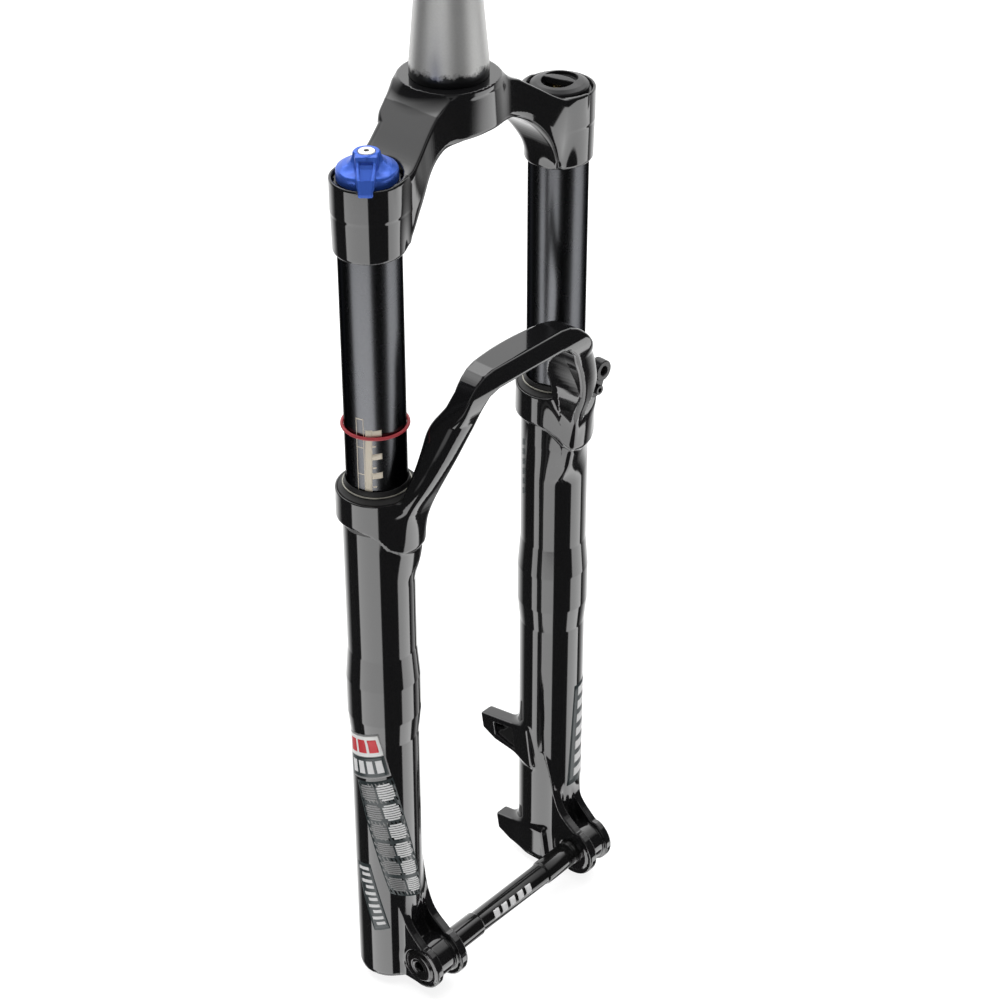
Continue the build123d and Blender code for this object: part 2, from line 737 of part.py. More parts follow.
# ---- pieces carried by the lower casting -------------------------------------------------
def make_seals_and_bushings():
    top = casting_top
    turned_pair(
        [
            (stanchion_r + run_gap, top + 5.4),
            (stanchion_r + 0.7, top + 5.7),
            (stanchion_r + 1.5, top + 3.4),
            (stanchion_r + 1.25, top + 3.0),
            (stanchion_r + 1.25, top + 2.2),
            (stanchion_r + 1.9, top + 1.6),
            (stanchion_r + 3.8, top + 0.3),
            (20.55, top + 0.1),
            (20.55, top - 10.0),
            (18.0, top - 10.0),
            (18.0, top - 3.4),
            (stanchion_r + 1.0, top - 3.4),
            (stanchion_r + run_gap, top - 4.6),
            (stanchion_r + run_gap, top - 3.8),
            (stanchion_r + 0.6, top - 1.5),
            (stanchion_r + 0.6, top + 2.8),
        ],
        "dust_wipers",
    )
    with BuildPart() as garters:
        for y in legs():
            with BuildSketch(upright(leg_x, y)) as section:
                with Locations((stanchion_r + 1.75, top + 2.6)):
                    Circle(0.45)
            revolve(section.sketch, axis=Axis((leg_x, y, 0), (0, 0, 1)))
    save(garters, "garter_springs")
    turned_pair(tube(stanchion_r + 0.3, 18.85, top - 21.0, top - 10.6), "foam_rings")
    bushing_in = stanchion_r + 0.03
    turned_pair(tube(bushing_in, leg_bore_r, top - 42.0, top - 22.5), "upper_bushings")
    turned_pair(tube(bushing_in, leg_bore_r, -345.0, -323.0), "lower_bushings")


def make_foot_bolts():
    washer_low = foot_seat - 1.2
    head_low = washer_low - 5.2
    turned_pair(tube(4.1, 7.6, washer_low, foot_seat), "crush_washers")
    # Right: hollow, so that the rebound rod passes through it. Left: plain socket head.
    hollow = [
        (2.1, head_low), (6.2, head_low), (6.8, head_low + 0.6), (6.8, washer_low),
        (foot_hole_r - 0.05, washer_low), (foot_hole_r - 0.05, floor_z), (2.55, floor_z),
        (2.55, floor_z + 16.0), (2.1, floor_z + 16.0),
    ]
    turned(hollow, leg_x, -leg_y, "damper_foot_bolt")
    with BuildPart() as bolt:
        turn(
            [(0, head_low), (6.2, head_low), (6.8, head_low + 0.6), (6.8, washer_low),
             (foot_hole_r - 0.05, washer_low), (foot_hole_r - 0.05, floor_z), (2.55, floor_z),
             (2.55, floor_z + 16.0), (0, floor_z + 16.0)],
            leg_x,
            leg_y,
        )
        with BuildSketch(Plane(origin=(leg_x, leg_y, head_low - 1.0))):
            RegularPolygon(radius=2.5, side_count=6, major_radius=False)
        extrude(amount=4.6, mode=Mode.SUBTRACT)
    save(bolt, "air_foot_bolt")


def make_hose_guide():
    """Clip for the brake hose: a loop on a flat strap, and the bolt that holds it."""
    strap = 3.6
    loop = 6.0                   # length of the hose loop
    seat = Plane(origin=(guide_x, guide_y, guide_z), x_dir=(0, 1, 0), z_dir=(1, 0, 0))
    with BuildPart() as guide:
        with BuildSketch(seat.offset(0.05)):
            Circle(4.2)
            with Locations((3.0, 10.9)):
                Circle(4.9)
            make_hull()
        extrude(amount=strap)
        with BuildSketch(seat.offset(0.05)):
            with Locations((3.0, 10.9)):
                Circle(4.9)
        extrude(amount=loop)
        with BuildSketch(seat.offset(-1.0)):
            with Locations((3.0, 10.9)):
                Circle(hose_r)
        extrude(amount=loop + 2.0, mode=Mode.SUBTRACT)
        with BuildSketch(seat):
            Circle(2.3)
        extrude(amount=strap + 1.0, mode=Mode.SUBTRACT)
    save(guide, "hose_guide")
    with BuildPart() as bolt:
        with BuildSketch(seat.offset(strap + 0.1)):
            Circle(2.7)
        extrude(amount=2.6)
        with BuildSketch(seat.offset(-4.6)):
            Circle(2.05)
        extrude(amount=strap + 4.7)
        with BuildSketch(seat.offset(strap + 1.2)):
            RegularPolygon(radius=1.3, side_count=6, major_radius=False)
        extrude(amount=3.0, mode=Mode.SUBTRACT)
    save(bolt, "hose_guide_bolt")


def make_sag_ring():
    with BuildPart() as ring:
        with BuildSketch(upright(leg_x, -leg_y)) as section:
            with Locations((stanchion_r + 0.95, sag_ring_z)):
                Circle(0.9)
        revolve(section.sketch, axis=Axis((leg_x, -leg_y, 0), (0, 0, 1)))
    save(ring, "sag_o_ring")


def make_axle():
    """Through axle: head in the right dropout, slimmer middle, thread in the left dropout."""
    right_end = -(dropout_y + right_dropout_width + 1.0)
    left_end = dropout_y + left_dropout_width - 2.0
    along = [
        (0, right_end + 9.0),
        (3.4, right_end + 9.0),
        (3.4, right_end),
        (9.6, right_end),
        (10.6, right_end + 1.0),
        (10.6, -head_seat - 0.05),
        (axle_r, -head_seat - 0.05),
        (axle_r, -31.0),
        (axle_r - 0.8, -30.0),
        (axle_r - 0.8, 27.0),
        (axle_r, 28.0),
        (axle_r, left_end - 1.2),
        (axle_r - 1.2, left_end),
        (4.8, left_end),
        (4.8, right_end + 16.0),
        (0, right_end + 16.0),
    ]
    with BuildPart() as axle:
        with BuildSketch(Plane(origin=(axle_x, 0, axle_z), x_dir=(1, 0, 0), z_dir=(0, 0, 1))):
            with BuildLine():
                Polyline(*along, close=True)
            make_face()
        revolve(axis=Axis((axle_x, 0, axle_z), (0, 1, 0)))
        with BuildSketch(Plane(origin=(axle_x, right_end - 1.0, axle_z), z_dir=(0, 1, 0))):
            RegularPolygon(radius=3.0, side_count=6, major_radius=False)
        extrude(amount=9.0, mode=Mode.SUBTRACT)
    save(axle, "axle")


make_steerer()
make_crown()
make_stanchions()
make_seal_heads()
make_damper_top_cap()
make_detent()
make_compression_damper()
make_rebound_damper()
make_rebound_adjuster()
make_air_top_cap()
make_air_cap()
make_air_spring()
make_compression_knob()
make_lower_casting()
make_seals_and_bushings()
make_foot_bolts()
make_hose_guide()
make_sag_ring()
make_axle()
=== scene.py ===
import json
import math
import bmesh
import bpy
import numpy as np
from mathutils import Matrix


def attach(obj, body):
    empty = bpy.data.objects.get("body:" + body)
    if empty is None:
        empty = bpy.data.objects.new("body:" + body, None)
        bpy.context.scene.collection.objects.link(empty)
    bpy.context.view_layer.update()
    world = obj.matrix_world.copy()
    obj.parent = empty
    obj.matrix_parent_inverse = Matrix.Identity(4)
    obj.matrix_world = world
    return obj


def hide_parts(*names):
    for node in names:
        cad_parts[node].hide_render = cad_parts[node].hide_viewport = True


# Suspension fork. Shapes are worked out in millimetres in the part's own frame, then put in metres:
# +X forward, +Y to the rider's left, +Z up the steerer, origin at the centre of the crown race seat.
MM = 0.001
LEG_X = 11.5
LEG_Y = 70.0
STANCHION_R = 16.0
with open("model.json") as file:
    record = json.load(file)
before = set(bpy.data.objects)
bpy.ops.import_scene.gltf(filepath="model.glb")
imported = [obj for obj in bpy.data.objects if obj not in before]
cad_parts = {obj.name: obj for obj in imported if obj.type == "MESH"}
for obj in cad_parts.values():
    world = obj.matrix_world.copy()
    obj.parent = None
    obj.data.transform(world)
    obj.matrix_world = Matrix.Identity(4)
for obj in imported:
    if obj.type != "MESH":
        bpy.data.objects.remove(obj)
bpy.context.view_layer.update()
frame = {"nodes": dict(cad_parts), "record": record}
nodes = frame["nodes"]
STEP = 1.0


# ---- shape fields: signed distances in millimetres, on arrays that broadcast ---------------
def smin(a, b, k):
    """Union with a fillet of size k."""
    h = np.maximum(k - np.abs(a - b), 0.0) / k
    return np.minimum(a, b) - h * h * k * 0.25


def smax(a, b, k):
    """Intersection with an edge rounded by size k."""
    return -smin(-a, -b, k)


def cut(a, b, k):
    """Takes b away from a."""
    return smax(a, -b, k)


def polygon(u, v, points):
    """Distance to a closed outline in a plane."""
    best = np.full(np.broadcast(u, v).shape, 1e9, dtype=np.float32)
    side = np.ones(best.shape, dtype=np.float32)
    for (au, av), (bu, bv) in zip(points, points[-1:] + points[:-1]):
        eu = bu - au
        ev = bv - av
        wu = u - au
        wv = v - av
        t = np.clip((wu * eu + wv * ev) / (eu * eu + ev * ev), 0.0, 1.0)
        best = np.minimum(best, (wu - eu * t) ** 2 + (wv - ev * t) ** 2)
        above = v >= av
        below = v < bv
        left = eu * wv > ev * wu
        flip = (above & below & left) | (~above & ~below & ~left)
        side = np.where(flip, -side, side)
    return side * np.sqrt(best)


def smooth_line(points, steps=6):
    """A smooth open curve through the points."""
    p = np.array(points, dtype=float)
    ends = np.vstack([2 * p[0] - p[1], p, 2 * p[-1] - p[-2]])
    out = []
    for a, b, c, d in zip(ends[:-3], ends[1:-2], ends[2:-1], ends[3:]):
        for i in range(steps):
            t = i / steps
            q = 0.5 * (2 * b + (c - a) * t + (2 * a - 5 * b + 4 * c - d) * t * t
                       + (3 * b - a - 3 * c + d) * t ** 3)
            out.append((float(q[0]), float(q[1])))
    out.append((float(p[-1][0]), float(p[-1][1])))
    return out


def spacing(*spans):
    """Grid lines from spans of (start, end, step)."""
    lines = [np.array([spans[0][0]])]
    for start, end, step in spans:
        count = max(1, int(round((end - start) / step)))
        lines.append(np.linspace(start, end, count + 1)[1:])
    return np.concatenate(lines).astype(np.float32)


def mesh_field(name, field, xs, ys, zs):
    """Closed surface of a field: one point in each grid cell it crosses, drawn onto the surface."""
    d = field(xs[:, None, None], ys[None, :, None], zs[None, None, :])
    d = np.ascontiguousarray(np.broadcast_to(d, (len(xs), len(ys), len(zs))).astype(np.float32))
    inside = d < 0
    count = np.zeros(tuple(n - 1 for n in d.shape), dtype=np.int8)
    corners = [(i, j, k) for i in (0, 1) for j in (0, 1) for k in (0, 1)]
    size = count.shape
    for i, j, k in corners:
        count += inside[i:i + size[0], j:j + size[1], k:k + size[2]]
    cells = np.argwhere((count > 0) & (count < 8))
    index = np.full(size, -1, dtype=np.int64)
    index[tuple(cells.T)] = np.arange(len(cells))
    grid = (xs, ys, zs)
    total = np.zeros((len(cells), 3))
    hits = np.zeros(len(cells))
    for a in corners:
        for axis in range(3):
            if a[axis] == 1:
                continue
            b = list(a)
            b[axis] = 1
            ca = cells + np.array(a)
            cb = cells + np.array(b)
            da = d[tuple(ca.T)]
            db = d[tuple(cb.T)]
            crossing = (da < 0) != (db < 0)
            t = np.where(crossing, da / np.where(crossing, da - db, 1.0), 0.0)
            pa = np.stack([grid[m][ca[:, m]] for m in range(3)], axis=1)
            pb = np.stack([grid[m][cb[:, m]] for m in range(3)], axis=1)
            total += np.where(crossing[:, None], pa + (pb - pa) * t[:, None], 0.0)
            hits += crossing
    verts = total / hits[:, None]
    quads = []
    for axis in range(3):
        u, w = [(1, 2), (2, 0), (0, 1)][axis]
        low = [slice(None)] * 3
        high = [slice(None)] * 3
        low[axis] = slice(None, -1)
        high[axis] = slice(1, None)
        va = inside[tuple(low)]
        vb = inside[tuple(high)]
        edge = np.argwhere(va != vb)
        ok = (edge[:, u] > 0) & (edge[:, w] > 0)
        ok &= (edge[:, u] < d.shape[u] - 1) & (edge[:, w] < d.shape[w] - 1)
        edge = edge[ok]
        out = va[tuple(edge.T)]
        ring = []
        for du, dw in ((-1, -1), (0, -1), (0, 0), (-1, 0)):
            c = edge.copy()
            c[:, u] += du
            c[:, w] += dw
            ring.append(index[tuple(c.T)])
        quad = np.stack(ring, axis=1)
        quad[~out] = quad[~out][:, ::-1]
        quads.append(quad)
    quads = np.concatenate(quads)
    quads = quads[(quads >= 0).all(axis=1)]
    reach = 0.6 * float(max(np.diff(xs).max(), np.diff(ys).max()))

    def slope(p, h):
        x, y, z = p[:, 0], p[:, 1], p[:, 2]
        return np.stack([field(x + h, y, z) - field(x - h, y, z),
                         field(x, y + h, z) - field(x, y - h, z),
                         field(x, y, z + h) - field(x, y, z - h)], axis=1) / (2 * h)

    for _ in range(3):
        g = slope(verts, 0.04)
        f = field(verts[:, 0], verts[:, 1], verts[:, 2])
        move = np.clip(f / np.maximum((g * g).sum(axis=1), 0.3), -reach, reach)
        verts = verts - g * move[:, None]
    normal = slope(verts, 0.12)
    normal /= np.maximum(np.linalg.norm(normal, axis=1), 1e-6)[:, None]
    mesh = bpy.data.meshes.new(name)
    mesh.from_pydata((verts * MM).tolist(), [], quads.tolist())
    mesh.polygons.foreach_set("use_smooth", [True] * len(mesh.polygons))
    mesh.update()
    mesh.normals_split_custom_set_from_vertices(normal.tolist())
    piece = bpy.data.objects.new(name, mesh)
    bpy.context.scene.collection.objects.link(piece)
    return piece


# ---- turned pieces ----------------------------------------------------------------------------
def lathe(name, profile, x=0.0, y=0.0, along="z", segments=160, bevel=0.0):
    """A closed r, h outline turned about an axis through x, y (up) or x, z (along Y)."""
    outline = []
    n = len(profile)
    for i, p in enumerate(profile):
        if bevel <= 0 or p[0] < 1e-6:
            outline.append(p)
            continue
        before = profile[i - 1]
        after = profile[(i + 1) % n]
        for q in (before, after):
            length = math.hypot(q[0] - p[0], q[1] - p[1])
            t = min(bevel, 0.35 * length) / length
            outline.append((p[0] + (q[0] - p[0]) * t, p[1] + (q[1] - p[1]) * t))
    turn = np.linspace(0, 2 * math.pi, segments, endpoint=False)
    verts = []
    for r, h in outline:
        for a in turn:
            u = r * math.cos(a)
            v = r * math.sin(a)
            if along == "z":
                verts.append(((x + u) * MM, (y + v) * MM, h * MM))
            else:
                verts.append(((x + u) * MM, h * MM, (y - v) * MM))
    faces = []
    m = len(outline)
    for i in range(m):
        j = (i + 1) % m
        if outline[i][0] < 1e-6 and outline[j][0] < 1e-6:
            continue
        for k in range(segments):
            l = (k + 1) % segments
            faces.append((i * segments + k, i * segments + l, j * segments + l, j * segments + k))
    mesh = bpy.data.meshes.new(name)
    mesh.from_pydata(verts, [], faces)
    mesh.validate()
    bm = bmesh.new()
    bm.from_mesh(mesh)
    bmesh.ops.remove_doubles(bm, verts=bm.verts, dist=1e-7)
    bmesh.ops.recalc_face_normals(bm, faces=bm.faces)
    bm.to_mesh(mesh)
    bm.free()
    mesh.polygons.foreach_set("use_smooth", [True] * len(mesh.polygons))
    mesh.set_sharp_from_angle(angle=math.radians(38))
    piece = bpy.data.objects.new(name, mesh)
    bpy.context.scene.collection.objects.link(piece)
    return piece


# ---- crown ---------------------------------------------------------------------------------------
COLLAR_R = 24.4
COLLAR_LOW = -2.3
BOSS_R = 23.9
BOSS_LOW = -24.0
SOCKET_LOW = -65.4
SOCKET_TOP = -26.0
CAP_SEAT_R = 17.2
CAP_SEAT_LOW = -31.0
STEERER_SEAT_R = 19.02
BORE_GAP = 0.02


def crown_field(x, y, z):
    """Two arms on a boss, a collar round the steerer and a socket at each end."""
    a = np.abs(y)
    front = ([(0, -3.0), (20.0, -3.0)]
             + smooth_line([(30.0, -7.4), (40.0, -14.4), (50.0, -21.4), (58.0, -26.0)])
             + [(70.0, -26.0), (70.0, -64.0), (54.5, -64.0)]
             + smooth_line([(53.5, -60.0), (48.0, -47.5), (40.0, -36.5), (30.0, -29.0),
                            (18.0, -25.2), (0.0, BOSS_LOW)]))
    arm = polygon(a, z, [(-40.0, -3.0)] + front + [(-40.0, BOSS_LOW)])
    face = smooth_line([(70.0, 29.8), (58.0, 28.6), (46.0, 25.6), (34.0, 22.6), (22.0, 21.6),
                        (10.0, 22.4), (0.0, 22.8), (-40.0, 22.8)])
    rear = smooth_line([(-40.0, -23.0), (0.0, -22.6), (16.0, -20.5), (34.0, -15.0), (52.0, -10.5),
                        (70.0, -8.0)])
    lean = 0.085 * (z - BOSS_LOW)
    ahead = polygon(a, x + lean, face + [(-40.0, -60.0), (70.0, -60.0)])
    behind = polygon(a, x, rear + [(70.0, 60.0), (-40.0, 60.0)])
    top_edge = 1.6
    under_edge = 2.0 + 3.0 * np.clip((-10.0 - z) / 16.0, 0.0, 1.0)
    lift = np.clip((z + 16.0 + 0.3 * a) / 8.0, 0.0, 1.0)
    arm = smax(smax(arm, ahead, under_edge + (top_edge - under_edge) * lift), behind, 3.0)
    keel_front = (x - 30.4) * 0.992 + (z - BOSS_LOW) * -0.12
    keel_rear = (-7.0 - x) * 0.95 + (z + 34.0) * -0.31
    arm = smax(arm, keel_front, 3.0)
    arm = smax(arm, keel_rear - 1.2 * np.maximum(40.0 - a, 0.0), 7.0)
    r = np.sqrt(x * x + y * y)
    boss = smax(r - BOSS_R, np.maximum(BOSS_LOW - z, z + 1.0), 1.5)
    body = smin(arm, boss, 10.0)
    low_edge = np.interp(a, [0.0, 14.0, 24.0, 32.0, 42.0, 60.0],
                         [BOSS_LOW, -24.6, -26.6, -31.0, -45.0, -90.0])
    body = smax(body, (low_edge - z) * 0.9, 1.6)
    collar = smax(r - COLLAR_R, np.maximum(COLLAR_LOW - z, z), 0.7)
    body = smin(body, collar, 2.0)
    leg = np.sqrt((x - LEG_X) ** 2 + (a - LEG_Y) ** 2)
    socket_r = np.interp(z, [SOCKET_LOW, -64.0, -44.6, -43.2, SOCKET_TOP], [17.8, 18.2, 18.6, 18.8, 18.8])
    socket = smax(leg - socket_r, np.maximum(SOCKET_LOW - z, z - SOCKET_TOP), 1.0)
    body = smin(body, socket, 3.0)
    body = smax(body, z, 0.1)
    body = cut(body, np.maximum(leg - CAP_SEAT_R, CAP_SEAT_LOW - z), 0.8)
    body = cut(body, leg - (STANCHION_R + BORE_GAP), 0.4)
    return cut(body, r - STEERER_SEAT_R, 0.8)


# ---- lower casting ---------------------------------------------------------------------------------
AXLE_X = 42.0
AXLE_Z = -516.0
FOOT_Z = -532.5
COLLAR_TOP = -201.5
WIPER_SEAT_R = 20.6
WIPER_SEAT_LOW = -211.5
LEG_BORE_R = 16.8
LEG_BORE_LOW = -519.0
CLIP_Y = 68.9
CLIP_Z = -194.4
SEAT_X = 38.0
# Angle round a leg from +X towards its outer side, in degrees, and the lower edge of the collar there.
RIM_ANGLE = [-180, -81, -63, -50, -28, -8, 12, 31, 44, 58, 76, 180]
RIM_LOW = [-219.3, -219.3, -221.0, -223.3, -228.0, -232.0, -232.5, -229.5, -224.0, -220.2, -218.6,
           -219.3]
# Radius of the barrel of a leg by height.
BARREL_Z = [FOOT_Z, -531.6, -529.0, -361.0, -346.0, -322.4, -303.0, COLLAR_TOP]
BARREL_R = [17.6, 18.4, 18.9, 18.9, 20.25, 20.25, 18.75, 18.75]


def side_plate(rim):
    """Side view of a dropout plate, round the axle and up the front of the leg."""
    sweep = smooth_line([(20.0, -452.0), (24.6, -466.0), (28.0, -480.0), (33.6, -492.0),
                         (AXLE_X + rim * 0.5 - 5.0, AXLE_Z + rim * 0.93)])
    ring = [(AXLE_X + rim * math.cos(math.radians(t)), AXLE_Z + rim * math.sin(math.radians(t)))
            for t in range(70, -101, -10)]
    return sweep + ring + [(17.0, -531.3), (12.0, -531.3), (12.0, -452.0)]


def dropouts(x, y, z):
    """Two plates, a web between them and a round boss at the foot of each leg."""
    a = np.abs(y)
    outer = np.where(y > 0, 76.0, 78.5)
    inner_plate = smax(polygon(x, z, side_plate(16.4)), np.maximum(55.0 - a, a - 60.5), 1.0)
    outer_plate = smax(polygon(x, z, side_plate(14.8)), np.maximum(outer - 5.0 - a, a - outer), 1.2)
    web = [(19.5, -470.0), (29.0, -500.0), (41.0, -514.0), (37.0, -528.0), (19.5, -529.0)]
    web = smax(polygon(x, z, web), np.maximum(57.0 - a, a - outer + 4.5), 1.5)
    ring = np.sqrt((x - AXLE_X) ** 2 + (z - AXLE_Z) ** 2)
    boss = smax(ring - 12.3, np.maximum(55.0 - a, a - outer), 1.2)
    return smin(smin(inner_plate, outer_plate, 0.8), smin(web, boss, 1.5), 1.5)


def brake_posts(x, y, z):
    """Two drilled posts behind the left leg, on a line that leans back."""
    tilt = math.radians(9.8)
    post_y = 56.4
    middle_z = -486.0
    half_pitch = 37.0
    ends = []
    for sign in (1, -1):
        height = middle_z + sign * half_pitch * math.cos(tilt)
        face = LEG_X - 33.0 - (height - middle_z) * math.tan(tilt)
        u = (x - face) * math.cos(tilt) + (z - height) * math.sin(tilt)
        w = -(x - face) * math.sin(tilt) + (z - height) * math.cos(tilt)
        side = polygon(u, w, [(0, 5.6), (0, -4.8), (9.0, -11.0), (38.0, -19.5), (38.0, 5.8), (16.0, 5.6)])
        post = smax(side, np.abs(y - post_y) - 5.2, 2.0)
        if sign > 0:
            pocket = polygon(u, w, [(11.0, 2.0), (11.0, -6.5), (25.0, -13.0), (25.0, 2.0)])
            post = cut(post, smax(pocket, 48.0 - y, 1.0) + np.maximum(y - 53.4, 0.0), 1.0)
        bore = np.sqrt(w * w + (y - 56.45) ** 2) - 3.0
        post = cut(post, np.maximum(bore, u - 15.0), 0.8)
        ends.append(post)
    return np.minimum(ends[0], ends[1])


def arch(x, y, z):
    """Bridge and struts: an outer outline and a front, an inner outline and a rear."""
    a = np.abs(y)
    outer = ([(-60.0, -136.4), (26.0, -136.4)]
             + smooth_line([(33.0, -137.4), (39.5, -140.4), (45.5, -145.6), (52.5, -154.4),
                            (58.5, -164.0), (63.5, -174.0), (68.0, -184.0), (73.0, -194.0),
                            (76.5, -203.0), (78.0, -211.0), (76.5, -222.0), (72.0, -236.0),
                            (66.0, -252.0)])
             + [(-60.0, -252.0)])
    inner = ([(-60.0, -147.0), (24.0, -147.6)]
             + smooth_line([(31.0, -149.6), (36.0, -155.0), (40.0, -163.0), (45.5, -173.0),
                            (52.5, -189.0), (59.0, -211.0), (62.0, -228.0), (63.5, -240.0),
                            (66.0, -252.0)])
             + [(120.0, -252.0), (120.0, -100.0), (-60.0, -100.0)])
    ahead = (smooth_line([(52.3, -130.0), (54.0, -140.0), (55.3, -148.0), (54.4, -158.0), (50.0, -178.0),
                          (44.4, -195.0), (38.5, -210.0), (34.0, -228.0), (30.4, -242.0),
                          (27.0, -256.0)])
             + [(-40.0, -256.0), (-40.0, -130.0)])
    behind = ([(14.5, -256.0), (14.5, -206.0)]
              + smooth_line([(17.0, -198.0), (24.5, -180.0), (31.5, -164.0), (35.8, -148.0),
                             (36.5, -130.0)])
              + [(90.0, -130.0), (90.0, -256.0)])
    strut = np.clip((-146.0 - z) / 14.0, 0.0, 1.0)
    side = polygon(a, z, outer)
    face = polygon(x, z, ahead)
    facet = 0.5 * side + 0.866 * face + 3.2 - 6.0 * (1.0 - strut)
    shell = smax(side, smax(face, facet, 1.0 + 1.5 * strut), 1.4 + 3.6 * strut)
    bow = 4.5 * np.clip(a / 37.0, 0.0, 1.2) ** 2 * np.clip((z + 172.0) / 20.0, 0.0, 1.0)
    root = 5.0 * np.clip((LEG_X + 32.0 - x) / 14.0, 0.0, 1.0) * np.clip((-160.0 - z) / 45.0, 0.0, 1.0)
    web = smax(polygon(a + root, z, inner), polygon(x - bow, z, behind), 1.4)
    body = smax(shell, web, 1.2 + 1.8 * strut)
    leg = np.sqrt((x - LEG_X) ** 2 + (a - LEG_Y) ** 2)
    return cut(body, leg - 21.0 - 0.16 * (z + 199.0), 4.0)


def casting_field(x, y, z):
    """Both legs with their collars, the arch, dropouts, brake posts, clip seat and bores."""
    a = np.abs(y)
    leg = np.sqrt((x - LEG_X) ** 2 + (a - LEG_Y) ** 2)
    barrel = np.interp(z, BARREL_Z, BARREL_R)
    tube = smax(leg - barrel, np.maximum(FOOT_Z - z, z + 203.0), 0.6)
    turn = np.degrees(np.arctan2(a - LEG_Y, x - LEG_X))
    low = np.interp(turn, RIM_ANGLE, RIM_LOW)
    collar = smax(leg - 21.9 + 0.012 * (z - COLLAR_TOP), z - COLLAR_TOP, 0.8)
    collar = smax(collar, (low - z) * 0.9, 1.6)
    body = smin(tube, collar, 1.6)
    foot = np.clip((-205.0 - z) / 30.0, 0.0, 1.0)
    body = smin(body, arch(x, y, z), 3.5 + 6.5 * foot)
    body = smin(body, dropouts(x, y, z), 3.0)
    posts = np.where(y > 0, brake_posts(x, y, z), 50.0)
    body = smin(body, posts, 5.0)
    # Seat and boss of the hose clip, at the end of the left strut.
    seat = np.maximum(np.maximum(SEAT_X - x, 63.4 - y), np.maximum(z + 175.5, -243.0 - z))
    body = cut(body, seat, 1.2)
    lug = np.sqrt((y - CLIP_Y) ** 2 + (z - CLIP_Z) ** 2) - 5.8
    body = smin(body, smax(lug, np.maximum(x - SEAT_X, 27.0 - x), 0.8), 2.0)
    # Stanchion clearance, wiper seats, bores and the foot holes.
    wiper_seat = np.maximum(leg - WIPER_SEAT_R, WIPER_SEAT_LOW - z)
    bore = np.maximum(leg - LEG_BORE_R, LEG_BORE_LOW - z)
    body = cut(body, np.minimum(wiper_seat, bore), 0.7)
    bolt_recess = np.maximum(leg - 9.5, z + 525.0)
    bolt_hole = leg - 4.1
    body = cut(body, np.minimum(bolt_recess, bolt_hole), 0.5)
    ring = np.sqrt((x - AXLE_X) ** 2 + (z - AXLE_Z) ** 2)
    axle_hole = ring - 7.55
    head_recess = np.maximum(ring - 10.9, y + 72.0)
    return cut(body, np.minimum(axle_hole, head_recess), 0.7)


# ---- knob, air cap and hose clip ----------------------------------------------------------------
KNOB_LOW = -27.4
NOSE_ANGLE = math.radians(-48.0)


def knob_field(x, y, z):
    """Round knob with a nose towards NOSE_ANGLE, grooved along its top."""
    h = z - KNOB_LOW
    px = x - LEG_X
    py = y + LEG_Y
    n = px * math.cos(NOSE_ANGLE) + py * math.sin(NOSE_ANGLE)
    t = np.abs(py * math.cos(NOSE_ANGLE) - px * math.sin(NOSE_ANGLE))
    r = np.sqrt(px * px + py * py)
    disc = polygon(r, h, [(-2.0, 0.0), (15.2, 0.0), (15.2, 4.9), (14.7, 5.9), (12.0, 7.6), (9.6, 8.3),
                          (8.0, 9.6), (7.1, 11.6), (6.8, 12.6), (6.8, 13.4), (6.1, 14.1), (-2.0, 14.1)])
    for side in (-1, 1):
        turn = NOSE_ANGLE + side * math.radians(42.0)
        valley = np.sqrt((px - 13.2 * math.cos(turn)) ** 2 + (py - 13.2 * math.sin(turn)) ** 2
                         + (h - 13.6) ** 2 * 1.3) - 8.6
        disc = cut(disc, valley, 1.2)
    rise = polygon(n, h, [(2.0, 0.1), (2.0, 13.6), (6.4, 13.6), (8.0, 11.4), (10.2, 10.0), (15.4, 7.9),
                          (17.6, 6.9), (19.4, 3.9), (20.9, 1.2), (20.9, -0.4), (19.3, -0.4),
                          (19.3, 1.9), (14.6, 1.9), (14.6, 0.1)])
    width = np.interp(n, [5.0, 9.0, 16.0, 20.0], [5.6, 4.7, 4.4, 3.6])
    body = smin(disc, smax(rise, t - width, 0.9), 1.0)
    ramp = polygon(n, h, [(7.4, 20.0), (7.4, 10.2), (9.0, 8.6), (15.4, 4.8), (15.4, 20.0)])
    gap = np.interp(n, [7.0, 16.0], [3.5, 2.7])
    body = cut(body, smax(ramp, t - gap, 0.6), 0.5)
    window = polygon(n, h, [(14.6, 20.0), (14.6, 2.2), (17.3, 2.2), (17.3, 20.0)])
    body = cut(body, np.maximum(window, t - 2.6), 0.4)
    body = cut(body, np.maximum(r - 4.4, 12.95 - h), 0.3)
    bore = np.maximum(r - 3.9, h - 8.3)
    ball = np.maximum(np.sqrt((px + 9.0) ** 2 + py ** 2) - 1.8, h - 1.0)
    return cut(body, np.minimum(np.minimum(bore, ball), r - 1.65), 0.3)


def air_cap_field(x, y, z):
    """Low domed cap with a crescent finger pocket."""
    h = z - KNOB_LOW
    px = x - LEG_X
    py = y - LEG_Y
    r = np.sqrt(px * px + py * py)
    u = px * 0.966 + py * 0.259
    v = np.abs(py * 0.966 - px * 0.259)
    dome = polygon(r, h, [(-2.0, 0.0), (15.4, 0.0), (15.4, 1.9), (14.9, 2.7), (12.6, 3.9), (9.0, 5.0),
                          (5.0, 5.6), (-2.0, 5.8)])
    skirt = np.maximum(np.maximum(8.6 - r, r - 10.9), np.maximum(h - 1.0, -9.6 - h))
    eye = smax(np.sqrt(u * u + (v - 2.0) ** 2) - 8.6, np.sqrt(u * u + (v + 22.0) ** 2) * -1.0 + 24.7, 0.5)
    floor = 1.5 + 0.09 * (v - 2.0)
    body = cut(dome, smax(eye, floor - h, 0.5), 0.5)
    body = np.minimum(body, skirt)
    return cut(body, np.maximum(r - 7.6, h - 1.9), 0.2)


